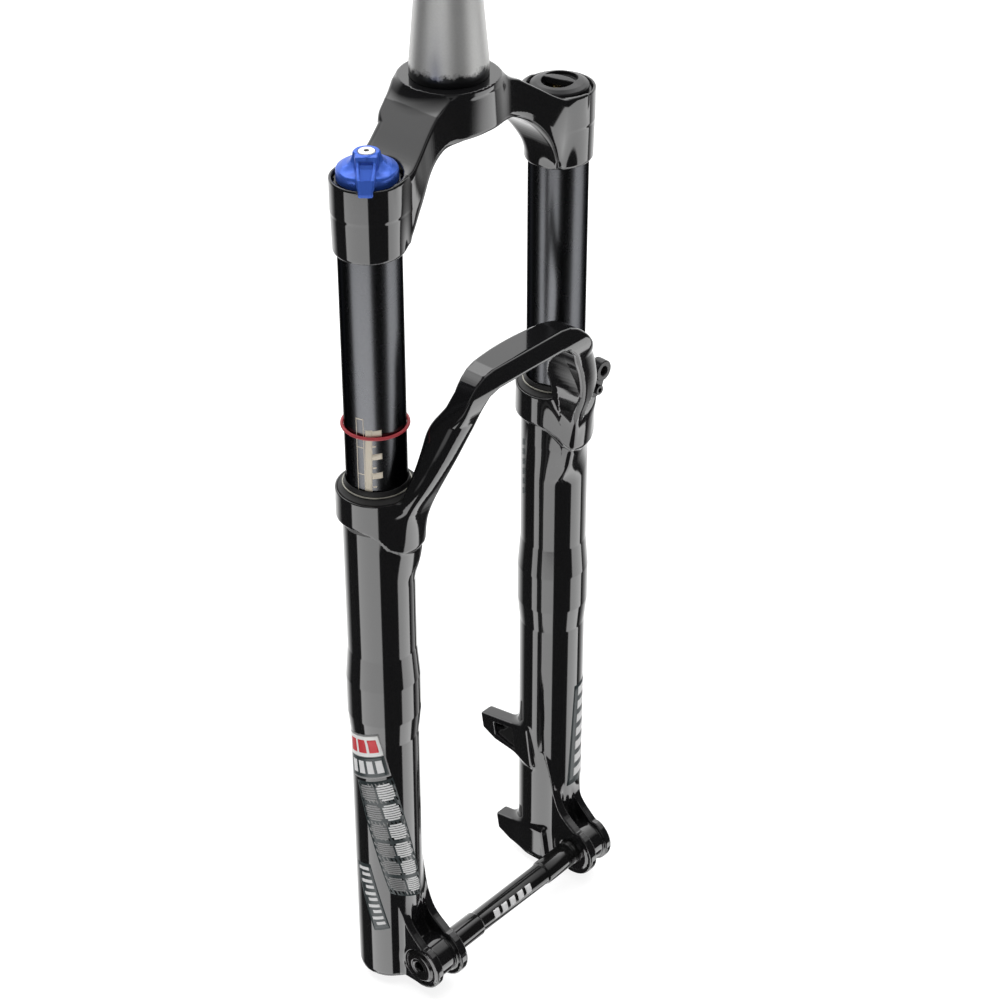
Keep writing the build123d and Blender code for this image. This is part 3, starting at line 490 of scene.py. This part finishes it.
def clip_field(x, y, z):
    """Folded strap on a bolt, with the hose loop at its upper end."""
    w = x - (SEAT_X + 0.05)
    u = y - CLIP_Y
    v = z - CLIP_Z
    along = np.clip((u * 3.0 + v * 10.9) / 127.8, 0.0, 1.0)
    strap = np.sqrt((u - 3.0 * along) ** 2 + (v - 10.9 * along) ** 2) - 5.2 - 0.7 * along
    layers = np.minimum(np.maximum(-w, w - 1.6), np.maximum(2.0 - w, w - 3.6))
    ring = np.sqrt((u - 3.0) ** 2 + (v - 10.9) ** 2)
    folded = smax(strap, layers, 0.4)
    loop = smax(ring - 5.9, np.maximum(-w, w - 6.4), 0.7)
    body = smin(folded, loop, 0.5)
    body = cut(body, ring - 2.75, 0.5)
    return cut(body, np.sqrt(u * u + v * v) - 2.3, 0.3)


def make_main_pieces():
    """Crown, casting, knob, air cap and hose clip; grids in millimetres, finer where shapes are small."""
    s = STEP
    crown = mesh_field("crown_forging", crown_field,
                       spacing((-28.0, 32.0, 0.75 * s)), spacing((-90.5, 90.5, 0.75 * s)),
                       spacing((-67.0, -20.0, 0.75 * s), (-20.0, 1.0, 0.5 * s)))
    casting = mesh_field("lower_legs_casting", casting_field,
                         spacing((-34.0, 60.5, 0.95 * s)), spacing((-95.0, 95.0, 0.95 * s)),
                         spacing((-534.0, -440.0, 0.95 * s), (-440.0, -366.0, 3.0), (-366.0, -300.0, 0.8),
                                 (-300.0, -252.0, 2.2), (-252.0, -205.0, 1.0), (-205.0, -199.0, 0.5),
                                 (-199.0, -134.5, 0.9 * s)))
    knob = mesh_field("blue_knob", knob_field,
                      spacing((LEG_X - 16.5, LEG_X + 17.5, 0.36 * s)),
                      spacing((-LEG_Y - 18.5, -LEG_Y + 16.5, 0.36 * s)),
                      spacing((KNOB_LOW - 1.3, KNOB_LOW + 15.0, 0.32 * s)))
    cap = mesh_field("air_cap_cover", air_cap_field,
                     spacing((LEG_X - 16.5, LEG_X + 16.5, 0.4 * s)),
                     spacing((LEG_Y - 16.5, LEG_Y + 16.5, 0.4 * s)),
                     spacing((KNOB_LOW - 10.4, KNOB_LOW - 0.6, 0.8 * s),
                             (KNOB_LOW - 0.6, KNOB_LOW + 7.0, 0.35 * s)))
    clip = mesh_field("hose_clip", clip_field,
                      spacing((37.0, 45.6, 0.3 * s)), spacing((63.0, 78.6, 0.3 * s)),
                      spacing((-200.4, -177.0, 0.3 * s)))
    return crown, casting, knob, cap, clip


def ring_section(r, z, radius, count=12):
    """Round outline for lathe, centred at r and z."""
    return [(r + radius * math.cos(2 * math.pi * i / count), z + radius * math.sin(2 * math.pi * i / count))
            for i in range(count)]


AXLE_R = 6.7
AXLE_SEAT_R = 7.5
AXLE_HEAD_Y = -79.5
SAG_RING_Z = -163.9


def make_turned_pieces():
    """Steerer, stanchions, wipers, garter springs, sag ring and axle."""
    steerer = [(16.4, BOSS_LOW), (19.0, BOSS_LOW), (19.0, 0.0), (19.9, 0.0), (19.9, 7.0), (14.3, 69.0),
               (14.3, 264.0), (13.3, 265.0), (12.2, 265.0), (12.2, 69.0), (16.4, 7.0)]
    made = {"steerer": lathe("steerer", steerer, bevel=0.5)}
    stanchion = [(14.2, -385.0), (15.6, -385.0), (STANCHION_R, -384.2), (STANCHION_R, CAP_SEAT_LOW),
                 (14.2, CAP_SEAT_LOW), (14.2, -380.6), (14.9, -380.6), (14.9, -382.0), (14.2, -382.0)]
    top = COLLAR_TOP
    wiper = [(16.05, top + 5.4), (16.7, top + 5.7), (17.5, top + 3.4), (17.25, top + 3.0),
             (17.25, top + 2.2), (17.9, top + 1.6), (19.8, top + 0.3), (20.55, top + 0.1),
             (20.55, top - 10.0), (18.0, top - 10.0), (18.0, top - 3.4), (17.0, top - 3.4),
             (16.05, top - 4.6), (16.05, top - 3.8), (16.6, top - 1.5), (16.6, top + 2.8)]
    for side, y in (("right", -LEG_Y), ("left", LEG_Y)):
        made["stanchion_" + side] = lathe("stanchion_tube_" + side, stanchion, LEG_X, y)
        made["wiper_" + side] = lathe("wiper_" + side, wiper, LEG_X, y, bevel=0.18)
        made["garter_" + side] = lathe("garter_" + side, ring_section(17.75, top + 2.6, 0.42), LEG_X, y)
    made["sag_ring"] = lathe("sag_ring", ring_section(16.95, SAG_RING_Z, 0.9), LEG_X, -LEG_Y)
    head = AXLE_HEAD_Y
    axle = [(0.0, head + 9.0), (3.0, head + 9.0), (3.0, head + 1.2), (3.6, head + 0.2),
            (5.4, head + 0.2), (5.8, head), (9.0, head), (9.4, head + 0.5), (10.6, head + 1.0),
            (10.6, -72.05), (AXLE_SEAT_R, -72.05), (AXLE_SEAT_R, -31.0), (AXLE_R, -30.0),
            (AXLE_R, 27.0), (AXLE_SEAT_R, 28.0), (AXLE_SEAT_R, 50.0), (7.0, 50.4), (7.0, 51.6),
            (AXLE_SEAT_R, 52.0), (AXLE_SEAT_R, 72.8), (6.3, 74.0), (4.8, 74.0), (4.8, head + 16.0),
            (0.0, head + 16.0)]
    made["axle"] = lathe("axle_shaft", axle, AXLE_X, AXLE_Z, along="y", bevel=0.25)
    return made


# ---- printed marks -------------------------------------------------------------------------------
def patch(name, quad, y, radius, thick=0.05, columns=10, rows=10):
    """Thin closed sheet between four (angle, height) corners, clockwise from the top left.

    It lies round the leg at y, on its barrel when radius is None, or along the axle when y is None."""
    (a0, z0), (a1, z1), (a2, z2), (a3, z3) = quad
    verts = []
    for rise in (thick, -0.02):
        for j in range(rows + 1):
            v = j / rows
            for i in range(columns + 1):
                u = i / columns
                angle = math.radians((a0 * (1 - u) + a1 * u) * (1 - v) + (a3 * (1 - u) + a2 * u) * v)
                height = (z0 * (1 - u) + z1 * u) * (1 - v) + (z3 * (1 - u) + z2 * u) * v
                under = radius if radius else float(np.interp(height, BARREL_Z, BARREL_R)) + 0.02
                layer = rise + under
                if y is None:
                    verts.append(((AXLE_X + layer * math.cos(angle)) * MM, height * MM,
                                  (AXLE_Z + layer * math.sin(angle)) * MM))
                else:
                    verts.append(((LEG_X + layer * math.cos(angle)) * MM,
                                  (y + layer * math.sin(angle)) * MM, height * MM))
    faces = []
    wide = columns + 1
    base = wide * (rows + 1)
    for j in range(rows):
        for i in range(columns):
            p = j * wide + i
            faces.append((p, p + wide, p + wide + 1, p + 1))
            faces.append((base + p, base + p + 1, base + p + wide + 1, base + p + wide))
    edge = ([i for i in range(columns)] + [j * wide + columns for j in range(rows)]
            + [rows * wide + i for i in range(columns, 0, -1)] + [j * wide for j in range(rows, 0, -1)])
    for p, q in zip(edge, edge[1:] + edge[:1]):
        faces.append((p, q, base + q, base + p))
    mesh = bpy.data.meshes.new(name)
    mesh.from_pydata(verts, [], faces)
    mesh.polygons.foreach_set("use_smooth", [k < 2 * rows * columns for k in range(len(faces))])
    piece = bpy.data.objects.new(name, mesh)
    bpy.context.scene.collection.objects.link(piece)
    return piece


def within(quad, u0, u1, v0, v1):
    """Smaller quad inside a quad, by fractions across and down."""
    (a0, z0), (a1, z1), (a2, z2), (a3, z3) = quad
    out = []
    for u, v in ((u0, v0), (u1, v0), (u1, v1), (u0, v1)):
        out.append(((a0 * (1 - u) + a1 * u) * (1 - v) + (a3 * (1 - u) + a2 * u) * v,
                    (z0 * (1 - u) + z1 * u) * (1 - v) + (z3 * (1 - u) + z2 * u) * v))
    return out


def join(name, pieces):
    """One mesh from several."""
    bm = bmesh.new()
    for piece in pieces:
        bm.from_mesh(piece.data)
        mesh = piece.data
        bpy.data.objects.remove(piece)
        bpy.data.meshes.remove(mesh)
    mesh = bpy.data.meshes.new(name)
    bm.to_mesh(mesh)
    bm.free()
    made = bpy.data.objects.new(name, mesh)
    bpy.context.scene.collection.objects.link(made)
    return made


def make_marks():
    """Plain blocks, bars and outlines in place of printed words, one mesh per colour."""
    right = -LEG_Y
    badge = [(-124.0, -359.0), (-56.0, -350.5), (-37.0, -380.5), (-117.0, -389.0)]
    panel = [(-103.0, -389.5), (-34.5, -382.0), (27.0, -478.5), (-45.8, -466.5)]
    label = [(-117.0, -452.0), (-80.0, -447.5), (-47.0, -493.5), (-76.0, -497.0)]
    far = [(-2.0, -404.0), (58.0, -404.0), (58.0, -478.0), (-16.0, -478.0)]
    sets = {"dark": [], "grey": [], "white": [], "red": [], "frame": []}

    def add(tone, quad, y, level=0):
        sets[tone].append(patch("mark", quad, y, None, 0.04 + 0.05 * level, 10, 16))

    add("grey", badge, right)
    add("dark", within(badge, 0.0, 0.97, 0.52, 0.965), right, 1)
    add("frame", within(badge, 0.0, 0.965, 0.045, 0.50), right, 1)
    for k in range(3):
        add("red", within(badge, 0.06 + 0.30 * k, 0.29 + 0.30 * k, 0.13, 0.42), right, 2)
    for k in range(4):
        add("white", within(badge, 0.08 + 0.22 * k, 0.23 + 0.22 * k, 0.60, 0.88), right, 2)
    add("dark", panel, right)
    for k in range(6):
        for row, tone in ((0.53, "white"), (0.08, "grey")):
            for bar in range(7):
                low = 0.03 + 0.160 * k + 0.0185 * bar
                inset = 0.05 if bar in (0, 6) else 0.0
                add(tone, within(panel, row + inset, row + 0.40 - inset, low, low + 0.0125), right, 1)
    add("dark", label, right)
    for k in range(5):
        start = 0.05 + 0.185 * k
        add("white", within(label, 0.16, 0.84, start, start + 0.045), right, 1)
        add("white", within(label, 0.30 + 0.04 * (k % 2), 0.84, start + 0.085, start + 0.13), right, 1)
    add("dark", far, LEG_Y)
    for k in range(7):
        add("white", within(far, 0.20, 0.9, 0.04 + 0.135 * k, 0.12 + 0.135 * k), LEG_Y, 1)
    strip = [(-122.0, -236.0), (-105.5, -233.0), (-104.5, -273.0), (-119.5, -276.0)]
    for k in range(6):
        add("dark", within(strip, 0.1, 0.8, 0.16 * k, 0.10 + 0.16 * k), LEG_Y)
    made = {"dark": join("leg_marks_dark", sets["dark"]), "grey": join("leg_marks_grey", sets["grey"]),
            "white": join("leg_marks_white", sets["white"]), "red": join("leg_marks_red", sets["red"]),
            "frame": join("leg_marks_pale", sets["frame"])}

    # Sag scale: pale bar, three boxes and ticks, and an outline beside it.
    scale = [patch("mark", [(-64.0, -159.6), (-50.5, -159.3), (-54.0, -196.4), (-67.5, -196.6)],
                   right, STANCHION_R, 0.02, 4, 12)]
    for high, low in ((-159.8, -163.6), (-173.5, -177.0), (-184.8, -188.4)):
        scale.append(patch("mark", [(-53.0, high), (-34.0, high + 0.6), (-34.0, low + 0.6), (-53.0, low)],
                           right, STANCHION_R, 0.02, 6, 2))
    for high in (-168.4, -181.2, -192.6):
        scale.append(patch("mark", [(-52.0, high), (-45.0, high + 0.2), (-45.0, high - 0.8),
                                    (-52.0, high - 1.0)], right, STANCHION_R, 0.02, 4, 1))
    outline = []
    for a0, a1, high, low in ((-82.0, -80.6, -153.5, -196.5), (-68.0, -66.6, -153.0, -196.0),
                              (-82.0, -66.6, -153.2, -153.8), (-82.0, -66.6, -170.0, -170.5),
                              (-82.0, -66.6, -186.0, -186.5)):
        outline.append(patch("mark", [(a0, high), (a1, high), (a1, low), (a0, low)],
                             right, STANCHION_R, 0.02, 4, 6))
    blocks = []
    for k in range(5):
        low = -21.0 + 7.0 * k
        blocks.append(patch("mark", [(8.0, low), (8.0, low + 4.6), (52.0, low + 5.4), (52.0, low + 0.8)],
                            None, AXLE_R, 0.05, 3, 6))
    made["axle_blocks"] = join("axle_blocks", blocks)
    made["scale"] = join("sag_scale", scale)
    made["outline"] = join("sag_scale_outline", outline)
    return made


# ---- camera and studio -----------------------------------------------------------------------------
CAMERA_LENS = 89.7
CAMERA_SENSOR = 36.0
CAMERA_PLACE = (0.7760, -0.8266, 0.5005)
CAMERA_TILT = 90.0 - 33.55
CAMERA_TURN = 41.93


def make_camera():
    """The camera fitted to the picture."""
    data = bpy.data.cameras.new("camera")
    data.lens = CAMERA_LENS
    data.sensor_width = CAMERA_SENSOR
    camera = bpy.data.objects.new("camera", data)
    bpy.context.scene.collection.objects.link(camera)
    camera.location = CAMERA_PLACE
    camera.rotation_euler = (math.radians(CAMERA_TILT), 0.0, math.radians(CAMERA_TURN))
    bpy.context.scene.camera = camera


def node(tree, kind, **values):
    """A shader node with its inputs, or else its settings, given by name."""
    made = tree.nodes.new(kind)
    for key, value in values.items():
        if key in made.inputs:
            made.inputs[key].default_value = value
        else:
            setattr(made, key, value)
    return made


DEGREES = 57.29578
FLOOR_Z = -0.5392
LEFT_BOX = 2.8
RIGHT_BOX = 2.5
TOP_BOX = 1.7
HIGH_BOX = 0.8
UNDER_BOX = 1.6
BACK_GLOW = 1.15
FILL = 0.03


def make_studio():
    """Pale sweep behind, dark in front, with upright soft boxes and one overhead."""
    world = bpy.data.worlds.new("studio")
    bpy.context.scene.world = world
    world.use_nodes = True
    tree = world.node_tree
    tree.nodes.clear()
    out = tree.nodes.new("ShaderNodeOutputWorld")
    ground = tree.nodes.new("ShaderNodeBackground")
    coord = tree.nodes.new("ShaderNodeTexCoord")
    split = tree.nodes.new("ShaderNodeSeparateXYZ")
    tree.links.new(coord.outputs["Generated"], split.inputs[0])

    def calc(op, a, b=None, c=None, clamp=False):
        m = tree.nodes.new("ShaderNodeMath")
        m.operation = op
        m.use_clamp = clamp
        for slot, value in enumerate((a, b, c)):
            if value is None:
                continue
            if isinstance(value, (int, float)):
                m.inputs[slot].default_value = value
            else:
                tree.links.new(value, m.inputs[slot])
        return m.outputs[0]

    def window(value, low, high, soft):
        """1 between low and high, falling to 0 over soft."""
        rise = calc("MULTIPLY_ADD", value, 1.0 / soft, -low / soft + 0.5, clamp=True)
        fall = calc("MULTIPLY_ADD", value, -1.0 / soft, high / soft + 0.5, clamp=True)
        return calc("MULTIPLY", rise, fall)

    x, y, z = split.outputs
    # Bearing in degrees from the side the camera stands on, +90 to its right.
    ahead = calc("ADD", calc("MULTIPLY", x, 0.668), calc("MULTIPLY", y, -0.744))
    right = calc("ADD", calc("MULTIPLY", x, 0.744), calc("MULTIPLY", y, 0.668))
    bearing = calc("MULTIPLY", calc("ARCTAN2", right, ahead), DEGREES)
    height = calc("MULTIPLY", calc("ARCSINE", z), DEGREES)
    back = calc("MULTIPLY_ADD", ahead, -2.9, -0.95, clamp=True)
    glow = calc("MULTIPLY", back, BACK_GLOW)
    left_box = calc("MULTIPLY", window(bearing, -72.0, 2.0, 3.0), window(height, -62.0, -25.8, 0.8))
    slant = calc("MULTIPLY_ADD", height, -0.45, -15.0)
    right_box = calc("MULTIPLY", window(calc("ADD", bearing, slant), 62.0, 108.0, 3.0),
                     window(height, -62.0, -21.5, 0.8))
    high_box = calc("MULTIPLY", window(bearing, -30.0, -6.0, 8.0), window(height, -4.0, 40.0, 8.0))
    under_box = window(height, -100.0, -62.0, 6.0)
    top_box = calc("MULTIPLY", window(height, 38.0, 75.0, 14.0),
                   calc("MULTIPLY_ADD", ahead, -0.9, 0.5, clamp=True))
    light = calc("ADD", calc("MULTIPLY", left_box, LEFT_BOX), calc("MULTIPLY", right_box, RIGHT_BOX))
    light = calc("ADD", light, calc("MULTIPLY", top_box, TOP_BOX))
    light = calc("ADD", light, calc("MULTIPLY", high_box, HIGH_BOX))
    light = calc("ADD", light, calc("MULTIPLY", under_box, UNDER_BOX))
    light = calc("ADD", light, glow)
    light = calc("ADD", light, FILL)
    tree.links.new(light, ground.inputs["Strength"])
    ground.inputs["Color"].default_value = (1.0, 1.0, 1.0, 1.0)
    tree.links.new(ground.outputs[0], out.inputs["Surface"])

    floor_mesh = bpy.data.meshes.new("floor")
    half = 12.0
    floor_mesh.from_pydata([(-half, -half, FLOOR_Z), (half, -half, FLOOR_Z), (half, half, FLOOR_Z),
                            (-half, half, FLOOR_Z)], [], [(0, 1, 2, 3)])
    floor = bpy.data.objects.new("floor", floor_mesh)
    bpy.context.scene.collection.objects.link(floor)
    floor.visible_glossy = False
    paint = bpy.data.materials.new("floor_paper")
    paint.use_nodes = True
    bsdf = paint.node_tree.nodes["Principled BSDF"]
    bsdf.inputs["Base Color"].default_value = (0.35, 0.35, 0.35, 1.0)
    bsdf.inputs["Emission Color"].default_value = (1.0, 1.0, 1.0, 1.0)
    bsdf.inputs["Emission Strength"].default_value = 0.85
    bsdf.inputs["Roughness"].default_value = 0.9
    bsdf.inputs["Specular IOR Level"].default_value = 0.0
    floor_mesh.materials.append(paint)

    key = bpy.data.lights.new("overhead", "AREA")
    key.shape = "RECTANGLE"
    key.size = 3.2
    key.size_y = 3.2
    key.energy = 110.0
    lamp = bpy.data.objects.new("overhead", key)
    lamp.location = (-0.4, 0.2, 2.6)
    lamp.visible_camera = False
    lamp.visible_glossy = False
    bpy.context.scene.collection.objects.link(lamp)
    bpy.context.scene.view_settings.view_transform = "Standard"


# ---- materials ---------------------------------------------------------------------------------------
def material(name, color, rough, metal=0.0, coat=0.0, spec=0.5, grain=0.0, grain_scale=900.0,
             bump=0.0, bump_scale=1200.0, round_edge=0.0, edge_tint=1.0):
    """Procedural surface: colour and roughness varied by fine noise, with a fine bump."""
    made = bpy.data.materials.new(name)
    made.use_nodes = True
    tree = made.node_tree
    bsdf = tree.nodes["Principled BSDF"]
    bsdf.inputs["Metallic"].default_value = metal
    bsdf.inputs["Coat Weight"].default_value = coat
    bsdf.inputs["Coat Roughness"].default_value = 0.04
    bsdf.inputs["Specular IOR Level"].default_value = spec
    bsdf.inputs["Specular Tint"].default_value = (edge_tint, edge_tint, edge_tint, 1.0)
    coord = tree.nodes.new("ShaderNodeTexCoord")
    fine = node(tree, "ShaderNodeTexNoise", Scale=grain_scale, Detail=3.0, Roughness=0.6)
    broad = node(tree, "ShaderNodeTexNoise", Scale=38.0, Detail=4.0, Roughness=0.55)
    tree.links.new(coord.outputs["Object"], fine.inputs["Vector"])
    tree.links.new(coord.outputs["Object"], broad.inputs["Vector"])
    tone = tree.nodes.new("ShaderNodeMix")
    tone.data_type = "RGBA"
    dark = tuple(c * (1.0 - grain) for c in color) + (1.0,)
    pale = tuple(min(1.0, c * (1.0 + grain)) for c in color) + (1.0,)
    tone.inputs["A"].default_value = dark
    tone.inputs["B"].default_value = pale
    tree.links.new(fine.outputs["Fac"], tone.inputs["Factor"])
    tree.links.new(tone.outputs["Result"], bsdf.inputs["Base Color"])
    spread = tree.nodes.new("ShaderNodeMapRange")
    spread.inputs["To Min"].default_value = rough * 0.94
    spread.inputs["To Max"].default_value = min(1.0, rough * 1.08)
    tree.links.new(broad.outputs["Fac"], spread.inputs["Value"])
    tree.links.new(spread.outputs["Result"], bsdf.inputs["Roughness"])
    normal = None
    if round_edge > 0:
        edge = node(tree, "ShaderNodeBevel", Radius=round_edge * MM)
        edge.samples = 4
        normal = edge.outputs["Normal"]
    if bump > 0:
        relief = node(tree, "ShaderNodeTexNoise", Scale=bump_scale, Detail=2.0)
        tree.links.new(coord.outputs["Object"], relief.inputs["Vector"])
        lift = node(tree, "ShaderNodeBump", Strength=bump, Distance=0.0001)
        tree.links.new(relief.outputs["Fac"], lift.inputs["Height"])
        if normal is not None:
            tree.links.new(normal, lift.inputs["Normal"])
        normal = lift.outputs["Normal"]
    if normal is not None:
        tree.links.new(normal, bsdf.inputs["Normal"])
    return made


def darker_low_band(mat, height, color):
    """Ragged dark band over the lowest part of a surface, up to a height in metres."""
    tree = mat.node_tree
    bsdf = tree.nodes["Principled BSDF"]
    old = bsdf.inputs["Base Color"].links[0].from_socket
    coord = tree.nodes.new("ShaderNodeTexCoord")
    split = tree.nodes.new("ShaderNodeSeparateXYZ")
    tree.links.new(coord.outputs["Object"], split.inputs[0])
    ragged = node(tree, "ShaderNodeTexNoise", Scale=170.0, Detail=5.0, Roughness=0.7)
    tree.links.new(coord.outputs["Object"], ragged.inputs["Vector"])
    reach = tree.nodes.new("ShaderNodeMath")
    reach.operation = "MULTIPLY_ADD"
    tree.links.new(ragged.outputs["Fac"], reach.inputs[0])
    reach.inputs[1].default_value = 0.012
    reach.inputs[2].default_value = height - 0.006
    above = tree.nodes.new("ShaderNodeMath")
    above.operation = "SUBTRACT"
    tree.links.new(reach.outputs[0], above.inputs[0])
    tree.links.new(split.outputs["Z"], above.inputs[1])
    fade = tree.nodes.new("ShaderNodeMapRange")
    fade.inputs["From Min"].default_value = -0.0012
    fade.inputs["From Max"].default_value = 0.0022
    tree.links.new(above.outputs[0], fade.inputs["Value"])
    mix = tree.nodes.new("ShaderNodeMix")
    mix.data_type = "RGBA"
    mix.inputs["B"].default_value = color + (1.0,)
    tree.links.new(fade.outputs["Result"], mix.inputs["Factor"])
    tree.links.new(old, mix.inputs["A"])
    tree.links.new(mix.outputs["Result"], bsdf.inputs["Base Color"])


def painted_shade_spot(mat, x, y, radius, color):
    """Round spot of painted shade, a flat dark colour, about an upright axis, in metres."""
    tree = mat.node_tree
    bsdf = tree.nodes["Principled BSDF"]
    old = bsdf.inputs["Base Color"].links[0].from_socket
    coord = tree.nodes.new("ShaderNodeTexCoord")
    away = tree.nodes.new("ShaderNodeVectorMath")
    away.operation = "SUBTRACT"
    away.inputs[1].default_value = (x, y, 0.0)
    flat = tree.nodes.new("ShaderNodeVectorMath")
    flat.operation = "MULTIPLY"
    flat.inputs[1].default_value = (1.0, 1.0, 0.0)
    size = tree.nodes.new("ShaderNodeVectorMath")
    size.operation = "LENGTH"
    tree.links.new(coord.outputs["Object"], away.inputs[0])
    tree.links.new(away.outputs["Vector"], flat.inputs[0])
    tree.links.new(flat.outputs["Vector"], size.inputs[0])
    fade = tree.nodes.new("ShaderNodeMapRange")
    fade.inputs["From Min"].default_value = radius - 0.00015
    fade.inputs["From Max"].default_value = radius + 0.00015
    tree.links.new(size.outputs["Value"], fade.inputs["Value"])
    mix = tree.nodes.new("ShaderNodeMix")
    mix.data_type = "RGBA"
    mix.inputs["A"].default_value = color + (1.0,)
    tree.links.new(fade.outputs["Result"], mix.inputs["Factor"])
    tree.links.new(old, mix.inputs["B"])
    tree.links.new(mix.outputs["Result"], bsdf.inputs["Base Color"])


def dress(piece, mat, slot_name, body, *replaced):
    """Gives a piece its material and body, and takes the CAD nodes it replaces out."""
    piece.data.materials.clear()
    piece.data.materials.append(mat)
    if replaced:
        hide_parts(*replaced)
    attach(piece, body)


def repaint(name, mat):
    """Gives a CAD node its material."""
    for s in nodes[name].material_slots:
        s.material = mat


make_camera()
make_studio()
M = {
    "paint": material("black_paint", (0.0075, 0.0075, 0.008), 0.075, coat=0.6, grain=0.15, bump=0.02,
                      bump_scale=900.0),
    "steel": material("satin_steel", (0.66, 0.66, 0.65), 0.42, metal=0.8, grain=0.08, bump=0.10,
                      bump_scale=2600.0),
    "stanchion": material("dark_stanchion", (0.098, 0.100, 0.106), 0.27, metal=1.0, grain=0.12,
                          edge_tint=0.12),
    "rubber": material("black_rubber", (0.012, 0.012, 0.012), 0.5, grain=0.2, bump=0.2, round_edge=0.3),
    "black": material("black_metal", (0.012, 0.012, 0.013), 0.28, grain=0.2, bump=0.05, round_edge=0.4),
    "plastic": material("black_plastic", (0.013, 0.013, 0.014), 0.32, grain=0.2, bump=0.12,
                        bump_scale=3000.0, round_edge=0.3),
    "glossy": material("glossy_black_axle", (0.006, 0.006, 0.006), 0.12, coat=0.4, grain=0.1),
    "screw": material("screw_face", (0.86, 0.85, 0.82), 0.42, metal=0.3, grain=0.05, round_edge=0.3),
    "garter": material("garter_wire", (0.42, 0.41, 0.36), 0.4, metal=0.8, grain=0.1),
    "mark_white": material("print_white", (0.66, 0.66, 0.66), 0.45, spec=0.3, grain=0.03),
    "mark_pale": material("print_pale", (0.74, 0.74, 0.73), 0.45, spec=0.3, grain=0.03),
    "mark_grey": material("print_grey", (0.23, 0.23, 0.23), 0.4, spec=0.4, grain=0.03),
    "mark_dark": material("print_dark", (0.030, 0.040, 0.042), 0.35, spec=0.4, grain=0.05),
    "mark_red": material("print_red", (0.55, 0.025, 0.035), 0.4, spec=0.3, grain=0.03),
    "mark_cream": material("print_cream", (0.62, 0.56, 0.46), 0.4, spec=0.3, grain=0.03),
    "bright": material("bright_steel", (0.75, 0.75, 0.74), 0.25, metal=1.0, grain=0.08, round_edge=0.2),
    "blue": material("blue_anodised", (0.045, 0.125, 0.56), 0.34, metal=0.45, coat=0.0, grain=0.08,
                     bump=0.04),
    "red": material("red_anodised", (0.5, 0.03, 0.03), 0.3, metal=0.7, grain=0.1, round_edge=0.4),
    "ring": material("red_ring", (0.36, 0.035, 0.045), 0.45, grain=0.1, bump=0.1),
    "alloy": material("machined_alloy", (0.55, 0.55, 0.57), 0.3, metal=1.0, grain=0.08, round_edge=0.3),
    "brass": material("valve_brass", (0.62, 0.48, 0.22), 0.3, metal=1.0, grain=0.08, round_edge=0.3),
    "foam": material("oiled_foam", (0.12, 0.12, 0.12), 0.9, grain=0.5, bump=0.8, bump_scale=500.0),
    "token": material("token_red", (0.35, 0.04, 0.04), 0.3, grain=0.1, round_edge=0.5),
    "white": material("glide_white", (0.7, 0.7, 0.67), 0.4, grain=0.05, round_edge=0.2),
}
# Painted shade: a black disc in the middle of the screw face, where its hex socket lies in shade.
painted_shade_spot(M["screw"], LEG_X * MM, -LEG_Y * MM, 0.0013, (0.004, 0.004, 0.004))
# The steerer is darker towards its foot, up to 6.6 mm above the crown, with a ragged edge.
darker_low_band(M["steel"], 0.0066, (0.035, 0.035, 0.037))
SLOT_LOOK = {
    "crown_paint": "paint", "casting_paint": "paint", "steerer_steel": "steel",
    "stanchion_coat": "stanchion", "seal_head_metal": "alloy", "seal_rubber": "rubber",
    "wiper_rubber": "rubber", "garter_steel": "bright", "foam": "foam", "bushing_liner": "alloy",
    "black_cap": "black", "small_steel": "bright", "black_bolt": "black", "damper_metal": "alloy",
    "shaft_steel": "bright", "glide_plastic": "white", "bumper_rubber": "rubber",
    "air_piston_plastic": "plastic", "valve_brass": "brass", "token_plastic": "token",
    "cover_plastic": "plastic", "knob_blue": "blue", "knob_screw_silver": "bright",
    "rebound_red": "red", "guide_plastic": "plastic", "sag_ring_red": "ring", "axle_black": "black",
    "washer_metal": "alloy",
}
for part in frame["record"]["subparts"]:
    repaint(part["node"], M[SLOT_LOOK[part["material_slot"]]])

crown, casting, knob, cap, clip = make_main_pieces()
dress(crown, M["paint"], "crown_paint", "upper_unit", "crown")
dress(casting, M["paint"], "casting_paint", "lower_unit", "lower_casting")
dress(knob, M["blue"], "knob_blue", "compression_adjuster", "compression_knob")
dress(cap, M["plastic"], "cover_plastic", "air_cover", "air_cap")
dress(clip, M["plastic"], "guide_plastic", "lower_unit", "hose_guide")
turned = make_turned_pieces()
dress(turned["steerer"], M["steel"], "steerer_steel", "upper_unit", "steerer_tube")
for hand in ("right", "left"):
    dress(turned["stanchion_" + hand], M["stanchion"], "stanchion_coat", "upper_unit", "stanchion_" + hand)
dress(turned["wiper_right"], M["rubber"], "wiper_rubber", "lower_unit", "dust_wipers")
dress(turned["wiper_left"], M["rubber"], "wiper_rubber", "lower_unit")
dress(turned["garter_right"], M["garter"], "garter_steel", "lower_unit", "garter_springs")
dress(turned["garter_left"], M["garter"], "garter_steel", "lower_unit")
dress(turned["sag_ring"], M["ring"], "sag_ring_red", "sag_ring", "sag_o_ring")
dress(turned["axle"], M["glossy"], "axle_black", "axle_unit", "axle")
repaint("knob_screw", M["screw"])
marks = make_marks()
for tone, look in (("dark", "mark_dark"), ("grey", "mark_grey"), ("white", "mark_white"),
                   ("red", "mark_red"), ("frame", "mark_pale")):
    dress(marks[tone], M[look], "casting_paint", "lower_unit")
dress(marks["axle_blocks"], M["mark_white"], "axle_black", "axle_unit")
dress(marks["scale"], M["mark_cream"], "stanchion_coat", "upper_unit")
dress(marks["outline"], M["mark_cream"], "stanchion_coat", "upper_unit")
